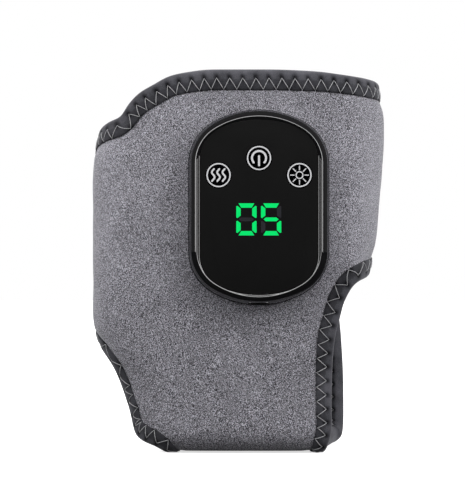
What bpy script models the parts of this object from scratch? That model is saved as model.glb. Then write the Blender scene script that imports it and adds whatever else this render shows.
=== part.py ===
# Heated foot and ankle massager: a padded wrap that stands like an open boot, with a
# controller on its near side. The leg goes in at the top, the toes come out at +X and the
# heel at -X. Two flaps on the far side open the wrap. Metres, +Z up, near side towards -Y.

import math

import bmesh
import bpy
import numpy as np
from mathutils import Vector

# Wrap: overall form of the outer cloth
WRAP_WIDTH = 0.1385
WRAP_HEIGHT = 0.1767
WRAP_HALF_DEPTH = 0.0400
BEND_RADIUS = 0.0105

# Wrap: the layers from the outside in, and the tape that binds their edges
COVER_THICKNESS = 0.0010
FOAM_THICKNESS = 0.0030
FILM_THICKNESS = 0.0004
LINING_THICKNESS = 0.0008
BINDING_THICKNESS = 0.0005
BINDING_WIDTH = 0.0090
HOOK_THICKNESS = 0.0011
FOAM_SETBACK = 0.0012
CLEARANCE = 0.0003

# Far side: where the wing and the two flaps end, and how far out their hinges stand
WING_END_X = 0.0220
COLLAR_FLAP_END_X = -0.0280
FLAP_SPACING = 0.0065
HINGE_STANDOFF = 0.0010
COLLAR_HOOK_START_X = 0.0080
COLLAR_HOOK_END_X = -0.0165
FOOT_HOOK_HALF_WIDTH = 0.0260
FOOT_HOOK_HEIGHT = 0.0140
FOOT_HOOK_DROP = 0.0130

# Controller: place across and below the top edge, outline, walls and the levels inside it
CONTROLLER_X = 0.0092
CONTROLLER_DROP = 0.0633
CASE_WIDTH = 0.0650
CASE_HEIGHT = 0.0902
RIM_WIDTH = 0.0056
END_RIM_WIDTH = 0.0052
CASE_DEPTH = 0.0150
BASE_DEPTH = 0.0050
BASE_WALL = 0.0019
BASE_FLOOR = 0.0016
BASE_CHAMFER = 0.0007
BEZEL_STEP = 0.0006
BEZEL_WALL = 0.0018
LEDGE_WIDTH = 0.0012
LEDGE_THICKNESS = 0.0014
LENS_THICKNESS = 0.0015
LENS_RECESS = 0.0005

# Keys and switches
KEY_RADIUS = 0.0058
KEY_LIP_RADIUS = 0.0066
KEY_LIP_THICKNESS = 0.0006
KEY_ROUNDING = 0.0002
KEY_TRAVEL = 0.0005
POWER_KEY_DROP = 0.0175
SIDE_KEY_MARGIN = 0.00844
SIDE_KEY_DROP = 0.0253
SWITCH_WIDTH = 0.0052
SWITCH_HEIGHT = 0.0015
PLUNGER_WIDTH = 0.0024

# Board, display, battery and socket, with margins that are counted in from the case's edge
BOARD_SIDE_MARGIN = 0.0090
BOARD_TOP_MARGIN = 0.0111
BOARD_BOTTOM_MARGIN = 0.0181
BOARD_THICKNESS = 0.0012
TONGUE_WIDTH = 0.0110
TONGUE_MARGIN = 0.0041
POST_RADIUS = 0.0019
POST_SIDE_MARGIN = 0.0115
POST_TOP_MARGIN = 0.0226
POST_BOTTOM_MARGIN = 0.0271
BATTERY_SIDE_MARGIN = 0.0145
BATTERY_END_MARGIN = 0.0191
BATTERY_THICKNESS = 0.0054
BATTERY_ROUNDING = 0.0012
BATTERY_TO_BOARD = 0.0006
DISPLAY_WIDTH = 0.0250
DISPLAY_HEIGHT = 0.0190
DISPLAY_TO_KEYS = 0.0042
SOCKET_WIDTH = 0.0090
SOCKET_HEIGHT = 0.0032
SOCKET_LENGTH = 0.0073
SOCKET_WALL = 0.0005
SOCKET_MOUTH_DEPTH = 0.0055
SOCKET_ROUNDING = 0.0010
SOCKET_INSET = 0.0014

# Vibration motors
MOTOR_RADIUS = 0.0035
MOTOR_INNER_X = 0.0068
MOTOR_MARGIN = 0.0133
SHAFT_RADIUS = 0.0005
MOTOR_BORE_DEPTH = 0.0020
WEIGHT_GAP = 0.0006
WEIGHT_RADIUS = 0.0027
WEIGHT_LENGTH = 0.0035
WEIGHT_BACK = 0.0009

# Plate behind the cloth, the screws and the heater's lead
PLATE_SIDE_MARGIN = 0.0030
PLATE_END_MARGIN = 0.0111
PLATE_CORNER_RADIUS = 0.0100
PLATE_THICKNESS = 0.0022
BOSS_RADIUS = 0.0024
BOSS_SIDE_MARGIN = 0.0062
BOSS_TOP_MARGIN = 0.0211
BOSS_BOTTOM_MARGIN = 0.0251
BOSS_HEIGHT = 0.0055
PLATE_SCREW_RADIUS = 0.0010
PLATE_SCREW_HEAD_RADIUS = 0.0020
PLATE_SCREW_HEAD_HEIGHT = 0.0009
PLATE_SCREW_LENGTH = 0.0072
BOARD_SCREW_RADIUS = 0.0008
BOARD_SCREW_HEAD_RADIUS = 0.0015
BOARD_SCREW_HEAD_HEIGHT = 0.0008
BOARD_SCREW_LENGTH = 0.0050
LEAD_RADIUS = 0.0008
LEAD_MARGIN = 0.0151
OVERRUN = 0.0020

# The wrap's left and right silhouettes: shares of its half width at shares of its height
LEFT_PROFILE_SHARES = ((0.0, 0.75), (0.07, 0.76), (0.143, 0.8), (0.217, 0.875), (0.269, 0.935),
                       (0.291, 0.957), (0.307, 0.976), (0.3225, 0.993), (0.38, 1.0),
                       (0.675, 1.0), (0.775, 0.994), (0.8077, 0.972), (0.84, 0.952),
                       (0.864, 0.945), (1.0, 0.94))
RIGHT_PROFILE_SHARES = ((0.0, 0.88), (0.456, 0.884), (0.488, 0.9), (0.51, 0.915),
                        (0.5425, 0.936), (0.575, 0.95), (0.64, 0.964), (0.736, 0.984),
                        (0.835, 0.998), (0.868, 0.998), (0.9, 0.992), (0.938, 0.966),
                        (0.976, 0.952), (1.0, 0.936))

# Heights of the cuts' corners
HEEL_CORNER_SHARE = 0.2428
TOE_CORNER_SHARE = 0.4409
# The upright parts of the heel and toe cuts on the near side: shares of the half width at
# shares of the way up from the fold to the cut's corner
HEEL_EDGE_SHARES = ((0.0, -0.715), (0.075, -0.721), (0.247, -0.737), (0.42, -0.763),
                    (0.595, -0.791), (0.772, -0.822), (0.944, -0.866), (1.0, -0.884))
TOE_EDGE_SHARES = ((0.0, 0.625), (0.22, 0.622), (0.43, 0.628), (0.535, 0.636), (0.645, 0.647),
                   (0.774, 0.679), (0.87, 0.701), (0.932, 0.732), (0.982, 0.761), (1.0, 0.777))
# Their level parts: shares of the corner's height on the way from the silhouette to the
# heel's corner, and from the toe's corner to the silhouette
HEEL_CUT_SHARES = ((0.0, 1.07), (0.35, 1.075), (0.68, 1.066), (1.0, 1.0))
TOE_CUT_SHARES = ((0.0, 1.0), (0.15, 1.023), (0.3, 1.033), (0.62, 1.041), (1.0, 1.045))
# The same edges under the foot: from the far fold (0), across the sole, to the near wall (3)
HEEL_SOLE_SHARES = ((0.0, -0.647), (1.0, -0.59), (2.0, -0.5), (2.4, -0.555), (2.6, -0.648),
                    (2.8, -0.698), (3.0, -0.715))
TOE_SOLE_SHARES = ((0.0, 0.755), (0.5, 0.745), (1.0, 0.69), (2.0, 0.585), (3.0, 0.625))

# The near side's top edge: shares of the wrap's height across the near side. The low shoulder
# on the heel side ends in a notch, where the tongue begins
SHOULDER_SHARE = 0.839
TONGUE_TOP_SHARES = ((-0.85, 0.879), (-0.802, 0.9105), (-0.76, 0.9265), (-0.719, 0.941),
                     (-0.635, 0.957), (-0.55, 0.975), (-0.505, 0.983), (-0.377, 0.9928),
                     (-0.19, 1.0), (0.23, 1.0), (0.407, 0.9985), (0.604, 0.9955), (0.703, 0.992),
                     (0.8, 0.9885), (0.906, 0.984), (1.0, 0.98))

# Edges of the rear wing and the collar flap: shares of the wrap's height along each piece
WING_TOP_SHARES = ((0.0, 0.839), (0.5, 0.832), (1.0, 0.815))
WING_BOTTOM_SHARES = ((0.0, 0.2598), (0.4, 0.257), (1.0, 0.255))
COLLAR_TOP_SHARES = ((0.0, 0.98), (0.45, 0.955), (1.0, 0.88))
COLLAR_BOTTOM_SHARES = ((0.0, 0.4607), (0.45, 0.495), (1.0, 0.575))
# The collar flap's hook tape, between shares of the wrap's height
COLLAR_HOOK_SHARES = (0.6579, 0.7609)
# Side edges of the foot flap in shares of the half width, and its top edge in shares of its
# height
FOOT_HEEL_SIDE_SHARES = ((0.0, -0.647), (0.6, -0.660), (0.85, -0.640), (1.0, -0.590))
FOOT_TOE_SIDE_SHARES = ((0.0, 0.755), (0.3, 0.752), (0.6, 0.738), (0.85, 0.712), (1.0, 0.65))
FOOT_TOP_SHARES = ((0.0, 0.965), (0.3, 1.0), (0.6, 0.990), (1.0, 0.920))

# Radii of the case's and the lens's arched ends and of their corners, in shares of the
# case's width
CASE_END_SHARE = 0.64615
CASE_CORNER_SHARE = 0.33846
LENS_END_SHARE = 0.69231
LENS_CORNER_SHARE = 0.24615

# Room beside the motor weights, in shares of the case's width
MOTOR_SIDE_SHARE = 0.15538

# How square the plan is on each side: 2 would be an ellipse
NEAR_SQUARENESS = 3.6
FAR_SQUARENESS = 4.2
PLAN_SAMPLES = 240
# How far around the controller the cloth lies flat, and where that has faded, in shares of
# the controller's size
FLAT_SHARE = 1.25
FLAT_FADE_SHARE = 1.70
# Size of the steps, in shares of a run, over which slopes are read
SLOPE_STEP_SHARE = 0.002
WELD_DISTANCE = 0.00002

# Lines of the grids that the cloth is made on
HEEL_COLUMN_SHARES = (0.0, 0.35, 0.68)
MIDDLE_COLUMN_SHARES = (0.0, 0.17, 0.34, 0.50, 0.66, 0.83, 1.0)
TOE_COLUMN_SHARES = (0.33, 0.66, 1.0)
TOP_BEFORE_NOTCH_SHARES = (0.0, 0.36, 0.66, 0.84)
TOP_AFTER_NOTCH_SHARES = (0.0, 0.11, 0.23, 0.36, 0.49, 0.62, 0.74, 0.83, 0.89, 0.945, 1.0)
BEND_ROWS = 3
SOLE_ROWS = 2
STIRRUP_ROW_SHARES = (0.0, 0.25, 0.48, 0.70, 0.87)
COLLAR_ROW_SHARES = (0.2, 0.4, 0.6, 0.8, 1.0)
WING_COLUMN_SHARES = (0.0, 0.12, 0.20, 0.27, 0.34, 0.42, 0.55, 0.76, 1.0)
WING_ROW_SHARES = (0.0, 0.25, 0.50, 0.75, 1.0)
FOOT_COLUMN_SHARES = (0.0, 0.2, 0.4, 0.6, 0.8, 1.0)
FOOT_ROW_SHARES = (0.0, 0.25, 0.50, 0.75, 1.0)
# How far a corner is drawn in, in shares of the tape's width, to round it
CORNER_SHARE = 0.29

# The bezel's front: shares of the ring's width, and of the height above the base
BEZEL_FRONT_SHARES = ((0.0, 0.45), (0.07, 0.68), (0.18, 0.84), (0.33, 0.95), (0.50, 1.0),
                      (0.90, 0.985))
END_ARC_STEPS = 5
CORNER_ARC_STEPS = 5
ROUND_SIDES = 20
SMALL_SIDES = 12
ROUNDING_STEPS = 3

# Worked out from the sizes above
HALF_WIDTH = WRAP_WIDTH / 2
HEEL_CORNER_HEIGHT = HEEL_CORNER_SHARE * WRAP_HEIGHT
TOE_CORNER_HEIGHT = TOE_CORNER_SHARE * WRAP_HEIGHT
FOOT_FLAP_HEIGHT = COLLAR_BOTTOM_SHARES[0][1] * WRAP_HEIGHT - FLAP_SPACING
COLLAR_HOOK_BOTTOM, COLLAR_HOOK_TOP = (share * WRAP_HEIGHT for share in COLLAR_HOOK_SHARES)
FOOT_HOOK_TOP = FOOT_FLAP_HEIGHT - FOOT_HOOK_DROP
CONTROLLER_Z = WRAP_HEIGHT - CONTROLLER_DROP
TAPE_STANDOFF = CLEARANCE + BINDING_THICKNESS
FOAM_DEPTH = COVER_THICKNESS + CLEARANCE
FILM_DEPTH = FOAM_DEPTH + FOAM_THICKNESS + CLEARANCE
LINING_DEPTH = FILM_DEPTH + FILM_THICKNESS + CLEARANCE
STACK_DEPTH = LINING_DEPTH + LINING_THICKNESS
HOOK_DEPTH = STACK_DEPTH + CLEARANCE
WING_HALF_DEPTH = WRAP_HALF_DEPTH - HOOK_DEPTH - HOOK_THICKNESS - CLEARANCE - TAPE_STANDOFF
FLAP_FOAM_THICKNESS = FOAM_THICKNESS + FILM_THICKNESS + CLEARANCE
FRONT_REACH = WRAP_HALF_DEPTH + CLEARANCE + CASE_DEPTH
BACK_REACH = WRAP_HALF_DEPTH + TAPE_STANDOFF
WRAP_SHIFT = (FRONT_REACH - BACK_REACH) / 2
HINGE_X = HALF_WIDTH + HINGE_STANDOFF
HINGE_Y = WRAP_HALF_DEPTH + HINGE_STANDOFF

HALF_CASE = CASE_HEIGHT / 2
CASE_END_RADIUS = CASE_END_SHARE * CASE_WIDTH
CASE_CORNER_RADIUS = CASE_CORNER_SHARE * CASE_WIDTH
LENS_END_RADIUS = LENS_END_SHARE * CASE_WIDTH
LENS_CORNER_RADIUS = LENS_CORNER_SHARE * CASE_WIDTH
LENS_WIDTH = CASE_WIDTH - 2 * RIM_WIDTH
LENS_HEIGHT = CASE_HEIGHT - 2 * END_RIM_WIDTH
POWER_KEY_Y = LENS_HEIGHT / 2 - POWER_KEY_DROP
SIDE_KEY_X = LENS_WIDTH / 2 - SIDE_KEY_MARGIN
SIDE_KEY_Y = LENS_HEIGHT / 2 - SIDE_KEY_DROP
DISPLAY_Y = SIDE_KEY_Y - KEY_LIP_RADIUS - DISPLAY_TO_KEYS - DISPLAY_HEIGHT / 2
BOARD_WIDTH = CASE_WIDTH - 2 * BOARD_SIDE_MARGIN
BOARD_TOP = HALF_CASE - BOARD_TOP_MARGIN
BOARD_BOTTOM = HALF_CASE - BOARD_BOTTOM_MARGIN
POST_X = CASE_WIDTH / 2 - POST_SIDE_MARGIN
POST_TOP_Y = HALF_CASE - POST_TOP_MARGIN
POST_BOTTOM_Y = HALF_CASE - POST_BOTTOM_MARGIN
BATTERY_WIDTH = CASE_WIDTH - 2 * BATTERY_SIDE_MARGIN
BATTERY_HEIGHT = CASE_HEIGHT - 2 * BATTERY_END_MARGIN
MOTOR_Y = MOTOR_MARGIN - HALF_CASE
MOTOR_OUTER_X = CASE_WIDTH * (1 / 2 - MOTOR_SIDE_SHARE) - WEIGHT_LENGTH - WEIGHT_GAP
MOTOR_LENGTH = MOTOR_OUTER_X - MOTOR_INNER_X
PLATE_WIDTH = CASE_WIDTH - 2 * PLATE_SIDE_MARGIN
PLATE_HEIGHT = CASE_HEIGHT - 2 * PLATE_END_MARGIN
BOSS_X = CASE_WIDTH / 2 - BOSS_SIDE_MARGIN
BOSS_TOP_Y = HALF_CASE - BOSS_TOP_MARGIN
BOSS_BOTTOM_Y = HALF_CASE - BOSS_BOTTOM_MARGIN
LEAD_Y = HALF_CASE - LEAD_MARGIN

LENS_FRONT = CASE_DEPTH - LENS_RECESS
LENS_BACK = LENS_FRONT - LENS_THICKNESS
LEDGE_FRONT = LENS_BACK - CLEARANCE
BATTERY_BACK = BASE_FLOOR + CLEARANCE
BOARD_BACK = BATTERY_BACK + BATTERY_THICKNESS + BATTERY_TO_BOARD
BOARD_FRONT = BOARD_BACK + BOARD_THICKNESS
SEAT = BOARD_FRONT + CLEARANCE
KEY_LIP_FRONT = LENS_BACK - CLEARANCE
KEY_BACK = KEY_LIP_FRONT - KEY_LIP_THICKNESS
PLUNGER_FRONT = KEY_BACK - KEY_TRAVEL - CLEARANCE
MOTOR_LEVEL = BASE_FLOOR + CLEARANCE + MOTOR_RADIUS
PLATE_FRONT = -CLEARANCE - FOAM_DEPTH
PLATE_BACK = PLATE_FRONT - PLATE_THICKNESS
FILM_FRONT = -CLEARANCE - FILM_DEPTH

KEY_SPOTS = {
    "heat": (-SIDE_KEY_X, SIDE_KEY_Y),
    "power": (0.0, POWER_KEY_Y),
    "light": (SIDE_KEY_X, SIDE_KEY_Y),
}
BOSS_SPOTS = [(x, y) for x in (-BOSS_X, BOSS_X) for y in (BOSS_TOP_Y, -BOSS_BOTTOM_Y)]
POST_SPOTS = [(x, y) for x in (-POST_X, POST_X) for y in (POST_TOP_Y, -POST_BOTTOM_Y)]
LEAD_SPOTS = [(0.0, LEAD_Y)]

# Colour, roughness and metallic value of each material
MATERIALS = {
    "grey_velour": ((0.16, 0.155, 0.165), 0.95, 0.0),
    "grey_binding": ((0.085, 0.083, 0.09), 0.85, 0.0),
    "dark_lining": ((0.045, 0.045, 0.05), 0.9, 0.0),
    "white_foam": ((0.75, 0.75, 0.72), 0.9, 0.0),
    "heating_film": ((0.35, 0.16, 0.05), 0.5, 0.0),
    "hook_tape": ((0.03, 0.03, 0.032), 0.8, 0.0),
    "black_gloss": ((0.006, 0.006, 0.007), 0.08, 0.0),
    "black_lens": ((0.010, 0.010, 0.010), 0.1, 0.0),
    "dark_matte": ((0.03, 0.03, 0.033), 0.5, 0.0),
    "green_board": ((0.02, 0.18, 0.07), 0.5, 0.0),
    "silver_foil": ((0.6, 0.6, 0.62), 0.35, 0.8),
    "steel": ((0.55, 0.55, 0.57), 0.3, 1.0),
    "red_wire": ((0.5, 0.02, 0.02), 0.5, 0.0),
}


# Scene and objects

def clear_scene():
    for obj in list(bpy.data.objects):
        bpy.data.objects.remove(obj)


def new_collection(name, hidden=False):
    collection = bpy.data.collections.new(name)
    collection.hide_render = hidden
    bpy.context.scene.collection.children.link(collection)
    return collection


def new_material(name, colour, roughness, metallic):
    material = bpy.data.materials.new(name)
    material.use_nodes = True
    shader = material.node_tree.nodes["Principled BSDF"]
    shader.inputs["Base Color"].default_value = (*colour, 1.0)
    shader.inputs["Roughness"].default_value = roughness
    shader.inputs["Metallic"].default_value = metallic
    material.diffuse_color = (*colour, 1.0)
    return material


def new_empty(name, location, parent=None, rotation=(0.0, 0.0, 0.0)):
    empty = bpy.data.objects.new(name, None)
    parts.objects.link(empty)
    empty.parent = parent
    empty.location = location
    empty.rotation_euler = rotation
    return empty


def new_part(name, mesh, parent, material, location=(0.0, 0.0, 0.0), rotation=(0.0, 0.0, 0.0)):
    mesh.shade_smooth()
    mesh.set_sharp_from_angle(angle=math.radians(35))
    obj = bpy.data.objects.new(name, mesh)
    parts.objects.link(obj)
    obj.parent = parent
    obj.location = location
    obj.rotation_euler = rotation
    mesh.materials.append(materials[material])
    return obj


def new_cutter(name, mesh, parent):
    obj = bpy.data.objects.new(name, mesh)
    cutters.objects.link(obj)
    obj.parent = parent
    obj.hide_render = True
    obj.display_type = "WIRE"
    return obj


def combine(obj, other, operation):
    modifier = obj.modifiers.new(operation.title() + " " + other.name, "BOOLEAN")
    modifier.operation = operation
    modifier.solver = "EXACT"
    modifier.object = other


# Rigid shapes

def mesh_from(bm, name):
    mesh = bpy.data.meshes.new(name)
    bm.to_mesh(mesh)
    bm.free()
    return mesh


def arched_ring(width, height, end_radius, corner_radius, inset, level):
    """One ring of points round an outline with arched ends, drawn in by an inset."""
    end_y = height / 2 - end_radius
    corner_x = width / 2 - corner_radius
    corner_y = end_y + math.sqrt((end_radius - corner_radius) ** 2 - corner_x ** 2)
    lean = math.atan2(corner_y - end_y, corner_x)
    quarter = []
    for k in range(END_ARC_STEPS):
        turn = math.pi / 2 + (lean - math.pi / 2) * k / END_ARC_STEPS
        quarter.append(((end_radius - inset) * math.cos(turn),
                        end_y + (end_radius - inset) * math.sin(turn)))
    for k in range(CORNER_ARC_STEPS + 1):
        turn = lean * (1 - k / CORNER_ARC_STEPS)
        quarter.append((corner_x + (corner_radius - inset) * math.cos(turn),
                        corner_y + (corner_radius - inset) * math.sin(turn)))
    half = quarter + [(x, -y) for x, y in reversed(quarter)]
    ring = half + [(-x, y) for x, y in reversed(half[1:-1])]
    return [(x, y, level) for x, y in ring]


def case_ring(inset, level):
    return arched_ring(CASE_WIDTH, CASE_HEIGHT, CASE_END_RADIUS, CASE_CORNER_RADIUS, inset, level)


def lens_ring(inset, level):
    return arched_ring(LENS_WIDTH, LENS_HEIGHT, LENS_END_RADIUS, LENS_CORNER_RADIUS, inset, level)


def loft(name, rings, closed=False):
    """Skins a run of rings. Closed joins the last ring to the first, otherwise both are
    capped."""
    bm = bmesh.new()
    loops = [[bm.verts.new(point) for point in ring] for ring in rings]
    following = loops[1:] + loops[:1] if closed else loops[1:]
    for lower, upper in zip(loops, following):
        for k in range(len(lower)):
            after = (k + 1) % len(lower)
            bm.faces.new((lower[k], lower[after], upper[after], upper[k]))
    if not closed:
        bm.faces.new(loops[0])
        bm.faces.new(loops[-1])
    bmesh.ops.recalc_face_normals(bm, faces=bm.faces)
    return mesh_from(bm, name)


def pegs(name, spots, radius, low, high, sides=SMALL_SIDES):
    """Upright round pegs at some spots, from one level to another."""
    bm = bmesh.new()
    for x, y in spots:
        made = bmesh.ops.create_cone(bm, cap_ends=True, segments=sides, radius1=radius,
                                     radius2=radius, depth=high - low)
        bmesh.ops.translate(bm, verts=made["verts"], vec=(x, y, (low + high) / 2))
    return mesh_from(bm, name)


def slab(name, width, height, low, high, corner_radius=0.0, centre=(0.0, 0.0)):
    """A flat block, its upright edges rounded where a radius is given."""
    bm = bmesh.new()
    bmesh.ops.create_cube(bm, size=1)
    bmesh.ops.scale(bm, verts=bm.verts, vec=(width, height, high - low))
    if corner_radius:
        upright = [e for e in bm.edges if e.verts[0].co.xy == e.verts[1].co.xy]
        bmesh.ops.bevel(bm, geom=upright, offset=corner_radius, segments=ROUNDING_STEPS,
                        affect="EDGES", profile=0.5, material=-1)
    bmesh.ops.translate(bm, verts=bm.verts, vec=(*centre, (low + high) / 2))
    return mesh_from(bm, name)


def turned(name, profile, parent, material, location, rotation=(0.0, 0.0, 0.0),
           sides=ROUND_SIDES):
    """A profile of (radius, level) points, from the top down, turned about its own Z."""
    mesh = bpy.data.meshes.new(name)
    points = [(radius, 0.0, level) for radius, level in profile]
    mesh.from_pydata(points, [(k, k + 1) for k in range(len(points) - 1)], [])
    obj = new_part(name, mesh, parent, material, location, rotation)
    screw = obj.modifiers.new("Turn", "SCREW")
    screw.steps = sides
    screw.render_steps = sides
    screw.use_merge_vertices = True
    screw.merge_threshold = WELD_DISTANCE
    return obj


# The wrap's surface

def along(table, at):
    """A smooth curve through (place, value) pairs, with no overshoot, read at one place."""
    places = [place for place, _ in table]
    values = [value for _, value in table]
    if at <= places[0]:
        return values[0]
    if at >= places[-1]:
        return values[-1]
    i = max(k for k in range(len(places) - 1) if places[k] <= at)
    slopes = [(values[k + 1] - values[k]) / (places[k + 1] - places[k])
              for k in range(len(places) - 1)]

    def tangent(k):
        if k == 0 or k == len(places) - 1:
            return slopes[min(k, len(slopes) - 1)]
        before, after = slopes[k - 1], slopes[k]
        return 0.0 if before * after <= 0 else 2 * before * after / (before + after)

    step = places[i + 1] - places[i]
    t = (at - places[i]) / step
    return (values[i] * (1 + 2 * t) * (1 - t) ** 2 + tangent(i) * step * t * (1 - t) ** 2
            + values[i + 1] * t * t * (3 - 2 * t) - tangent(i + 1) * step * t * t * (1 - t))


def fade(low, high, value):
    t = min(1.0, max(0.0, (value - low) / (high - low)))
    return 1 - t * t * (3 - 2 * t)


class Plan:
    """Half of the wrap's plan, a squared ellipse, read by its run from -X (0) to +X (1)."""

    def __init__(self, squareness):
        turns = [math.pi * k / PLAN_SAMPLES for k in range(PLAN_SAMPLES + 1)]
        power = 2 / squareness
        self.across = [-math.copysign(abs(math.cos(t)) ** power, math.cos(t)) for t in turns]
        self.out = [abs(math.sin(t)) ** power for t in turns[:-1]] + [0.0]
        lengths = [math.hypot((self.across[k + 1] - self.across[k]) * HALF_WIDTH,
                              (self.out[k + 1] - self.out[k]) * WRAP_HALF_DEPTH)
                   for k in range(PLAN_SAMPLES)]
        self.girth = sum(lengths)
        self.runs = [sum(lengths[:k]) / self.girth for k in range(PLAN_SAMPLES + 1)]
        self.margin = BINDING_WIDTH / self.girth
        self.gap = CLEARANCE / self.girth

    def at(self, run):
        """Place across (-1 to 1) and out (0 to 1). Past an end it turns to the other half."""
        inside = -run if run < 0 else 2 - run if run > 1 else run
        across = float(np.interp(inside, self.runs, self.across))
        out = float(np.interp(inside, self.runs, self.out))
        return across, out if inside == run else -out

    def run_at(self, across):
        return float(np.interp(across, self.across, self.runs))


near_plan = Plan(NEAR_SQUARENESS)
far_plan = Plan(FAR_SQUARENESS)


def span_at(height):
    """Centre and half width of the wrap at a height."""
    left = along(LEFT_PROFILE_SHARES, height / WRAP_HEIGHT) * HALF_WIDTH
    right = along(RIGHT_PROFILE_SHARES, height / WRAP_HEIGHT) * HALF_WIDTH
    return (right - left) / 2, (right + left) / 2


def near_run(x, height):
    centre, half = span_at(height)
    return near_plan.run_at((x - centre) / half)


def far_run(x, height):
    centre, half = span_at(height)
    return 1 - far_plan.run_at((x - centre) / half)


def flatness(x, height):
    """One where the controller draws the cloth flat, fading to zero around it."""
    across = abs(x - CONTROLLER_X) / (CASE_WIDTH / 2)
    up = abs(height - CONTROLLER_Z) / (CASE_HEIGHT / 2)
    return fade(FLAT_SHARE, FLAT_FADE_SHARE, (across ** 4 + up ** 4) ** 0.25)


def near_wall(run, height):
    """The near wall's outer face, run from the heel side (0) to the toe side (1)."""
    centre, half = span_at(height)
    across, out = near_plan.at(run)
    x = centre + half * across
    if out > 0:
        out += flatness(x, height) * (1 - out)
    return Vector((x, -WRAP_HALF_DEPTH * out, height))


def far_face(half_depth, run, height):
    centre, half = span_at(height)
    across, out = far_plan.at(1 - run)
    return Vector((centre + half * across, half_depth * out, height))


def far_wall(run, height):
    """The two flaps' outer face, run from the toe side (0) to the heel side (1)."""
    return far_face(WRAP_HALF_DEPTH, run, height)


def wing_wall(run, height):
    """The rear wing's outer face, which lies inside the flaps."""
    return far_face(WING_HALF_DEPTH, run, height)


def underfoot(run, turn):
    """The band under the foot: the far fold (turn 0 to 1), the sole and the near fold (to 3)."""
    centre, half = span_at(BEND_RADIUS)
    across, near_out = near_plan.at(run)
    far_out = far_plan.at(far_plan.run_at(across))[1]
    near_y = -near_out * WRAP_HALF_DEPTH
    far_y = far_out * WRAP_HALF_DEPTH
    angle = (turn if turn < 1 else 3 - turn if turn > 2 else 1) * math.pi / 2
    tuck = BEND_RADIUS * (1 - math.cos(angle))
    level = BEND_RADIUS * (1 - math.sin(angle))
    sole = min(1.0, max(0.0, turn - 1))
    start = far_y - tuck
    end = near_y + tuck
    return Vector((centre + half * across, start + (end - start) * sole, level))


def face_normal(station):
    surface, u, v = station
    step = SLOPE_STEP_SHARE
    rise = step * WRAP_HEIGHT if surface is not underfoot else step
    across = surface(u + step, v) - surface(u - step, v)
    up = surface(u, v + rise) - surface(u, v - rise)
    return across.cross(up).normalized()


def inside(station, depth):
    """A station's point, moved in from the outer face along the face's normal."""
    surface, u, v = station
    return surface(u, v) - face_normal(station) * depth


# Grids of stations on the wrap's surface, rows from the bottom up

def spread(shares, low, high, margin):
    """Lines from one edge to the other, all but the edges kept a margin in."""
    inner = [low + margin + (high - low - 2 * margin) * share for share in shares]
    return [low] + inner + [high]


def notch_run():
    return near_plan.run_at(TONGUE_TOP_SHARES[0][0])


def top_runs():
    """Where the main panel's columns reach its top edge: one of them is on the notch."""
    notch = notch_run()
    before = [share * notch for share in TOP_BEFORE_NOTCH_SHARES]
    return before + [notch + share * (1 - notch) for share in TOP_AFTER_NOTCH_SHARES]


def top_height(run):
    """The near side's top edge: the shoulder up to the notch, then the tongue."""
    notch = notch_run()
    if run < notch:
        notch_share = TONGUE_TOP_SHARES[0][1]
        level = SHOULDER_SHARE + (notch_share - SHOULDER_SHARE) * run / notch
    else:
        level = along(TONGUE_TOP_SHARES, near_plan.at(run)[0])
    return level * WRAP_HEIGHT


def band_row(surface, low, high, left_level, right_level):
    """A row of the band that runs under the foot, with nothing in the heel and toe cuts."""
    row = []
    for run in spread(MIDDLE_COLUMN_SHARES, low, high, near_plan.margin):
        level = left_level + (right_level - left_level) * (run - low) / (high - low)
        row.append((surface, run, level))
    return [None] * len(HEEL_COLUMN_SHARES) + row + [None] * len(TOE_COLUMN_SHARES)


def band_rows():
    """The far fold, the sole, the near fold and the near side up to the cuts' corners."""
    turns = [k / BEND_ROWS for k in range(BEND_ROWS)]
    turns += [1 + k / SOLE_ROWS for k in range(SOLE_ROWS)]
    turns += [2 + k / BEND_ROWS for k in range(BEND_ROWS)]
    rows = []
    for turn in turns:
        low = near_run(along(HEEL_SOLE_SHARES, turn) * HALF_WIDTH, BEND_RADIUS)
        high = near_run(along(TOE_SOLE_SHARES, turn) * HALF_WIDTH, BEND_RADIUS)
        rows.append(band_row(underfoot, low, high, turn, turn))
    for rise in STIRRUP_ROW_SHARES:
        heel_height = BEND_RADIUS + rise * (HEEL_CORNER_HEIGHT - BEND_RADIUS)
        toe_height = BEND_RADIUS + rise * (TOE_CORNER_HEIGHT - BEND_RADIUS)
        low = near_run(along(HEEL_EDGE_SHARES, rise) * HALF_WIDTH, heel_height)
        high = near_run(along(TOE_EDGE_SHARES, rise) * HALF_WIDTH, toe_height)
        rows.append(band_row(near_wall, low, high, heel_height, toe_height))
    return rows


def corner_rows():
    """The row through both cuts' corners and their level parts, and the row above the tape."""
    low = near_run(HEEL_EDGE_SHARES[-1][1] * HALF_WIDTH, HEEL_CORNER_HEIGHT)
    high = near_run(TOE_EDGE_SHARES[-1][1] * HALF_WIDTH, TOE_CORNER_HEIGHT)
    edge = [(near_wall, low * share, HEEL_CORNER_HEIGHT * along(HEEL_CUT_SHARES, share))
            for share in HEEL_COLUMN_SHARES]
    middle = band_row(near_wall, low, high, HEEL_CORNER_HEIGHT, TOE_CORNER_HEIGHT)
    edge += [station for station in middle if station]
    edge += [(near_wall, high + (1 - high) * share,
              TOE_CORNER_HEIGHT * along(TOE_CUT_SHARES, share)) for share in TOE_COLUMN_SHARES]
    above = [(near_wall, run, height + BINDING_WIDTH) for _, run, height in edge]
    draw = near_plan.margin * CORNER_SHARE
    for column, inward in ((heel_column() + 1, -draw), (toe_column() - 1, draw)):
        _, run, height = above[column]
        above[column] = (near_wall, run + inward, height - BINDING_WIDTH * CORNER_SHARE)
    return [edge, above]


def heel_column():
    return len(HEEL_COLUMN_SHARES)


def toe_column():
    return len(HEEL_COLUMN_SHARES) + len(MIDDLE_COLUMN_SHARES) + 1


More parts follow.
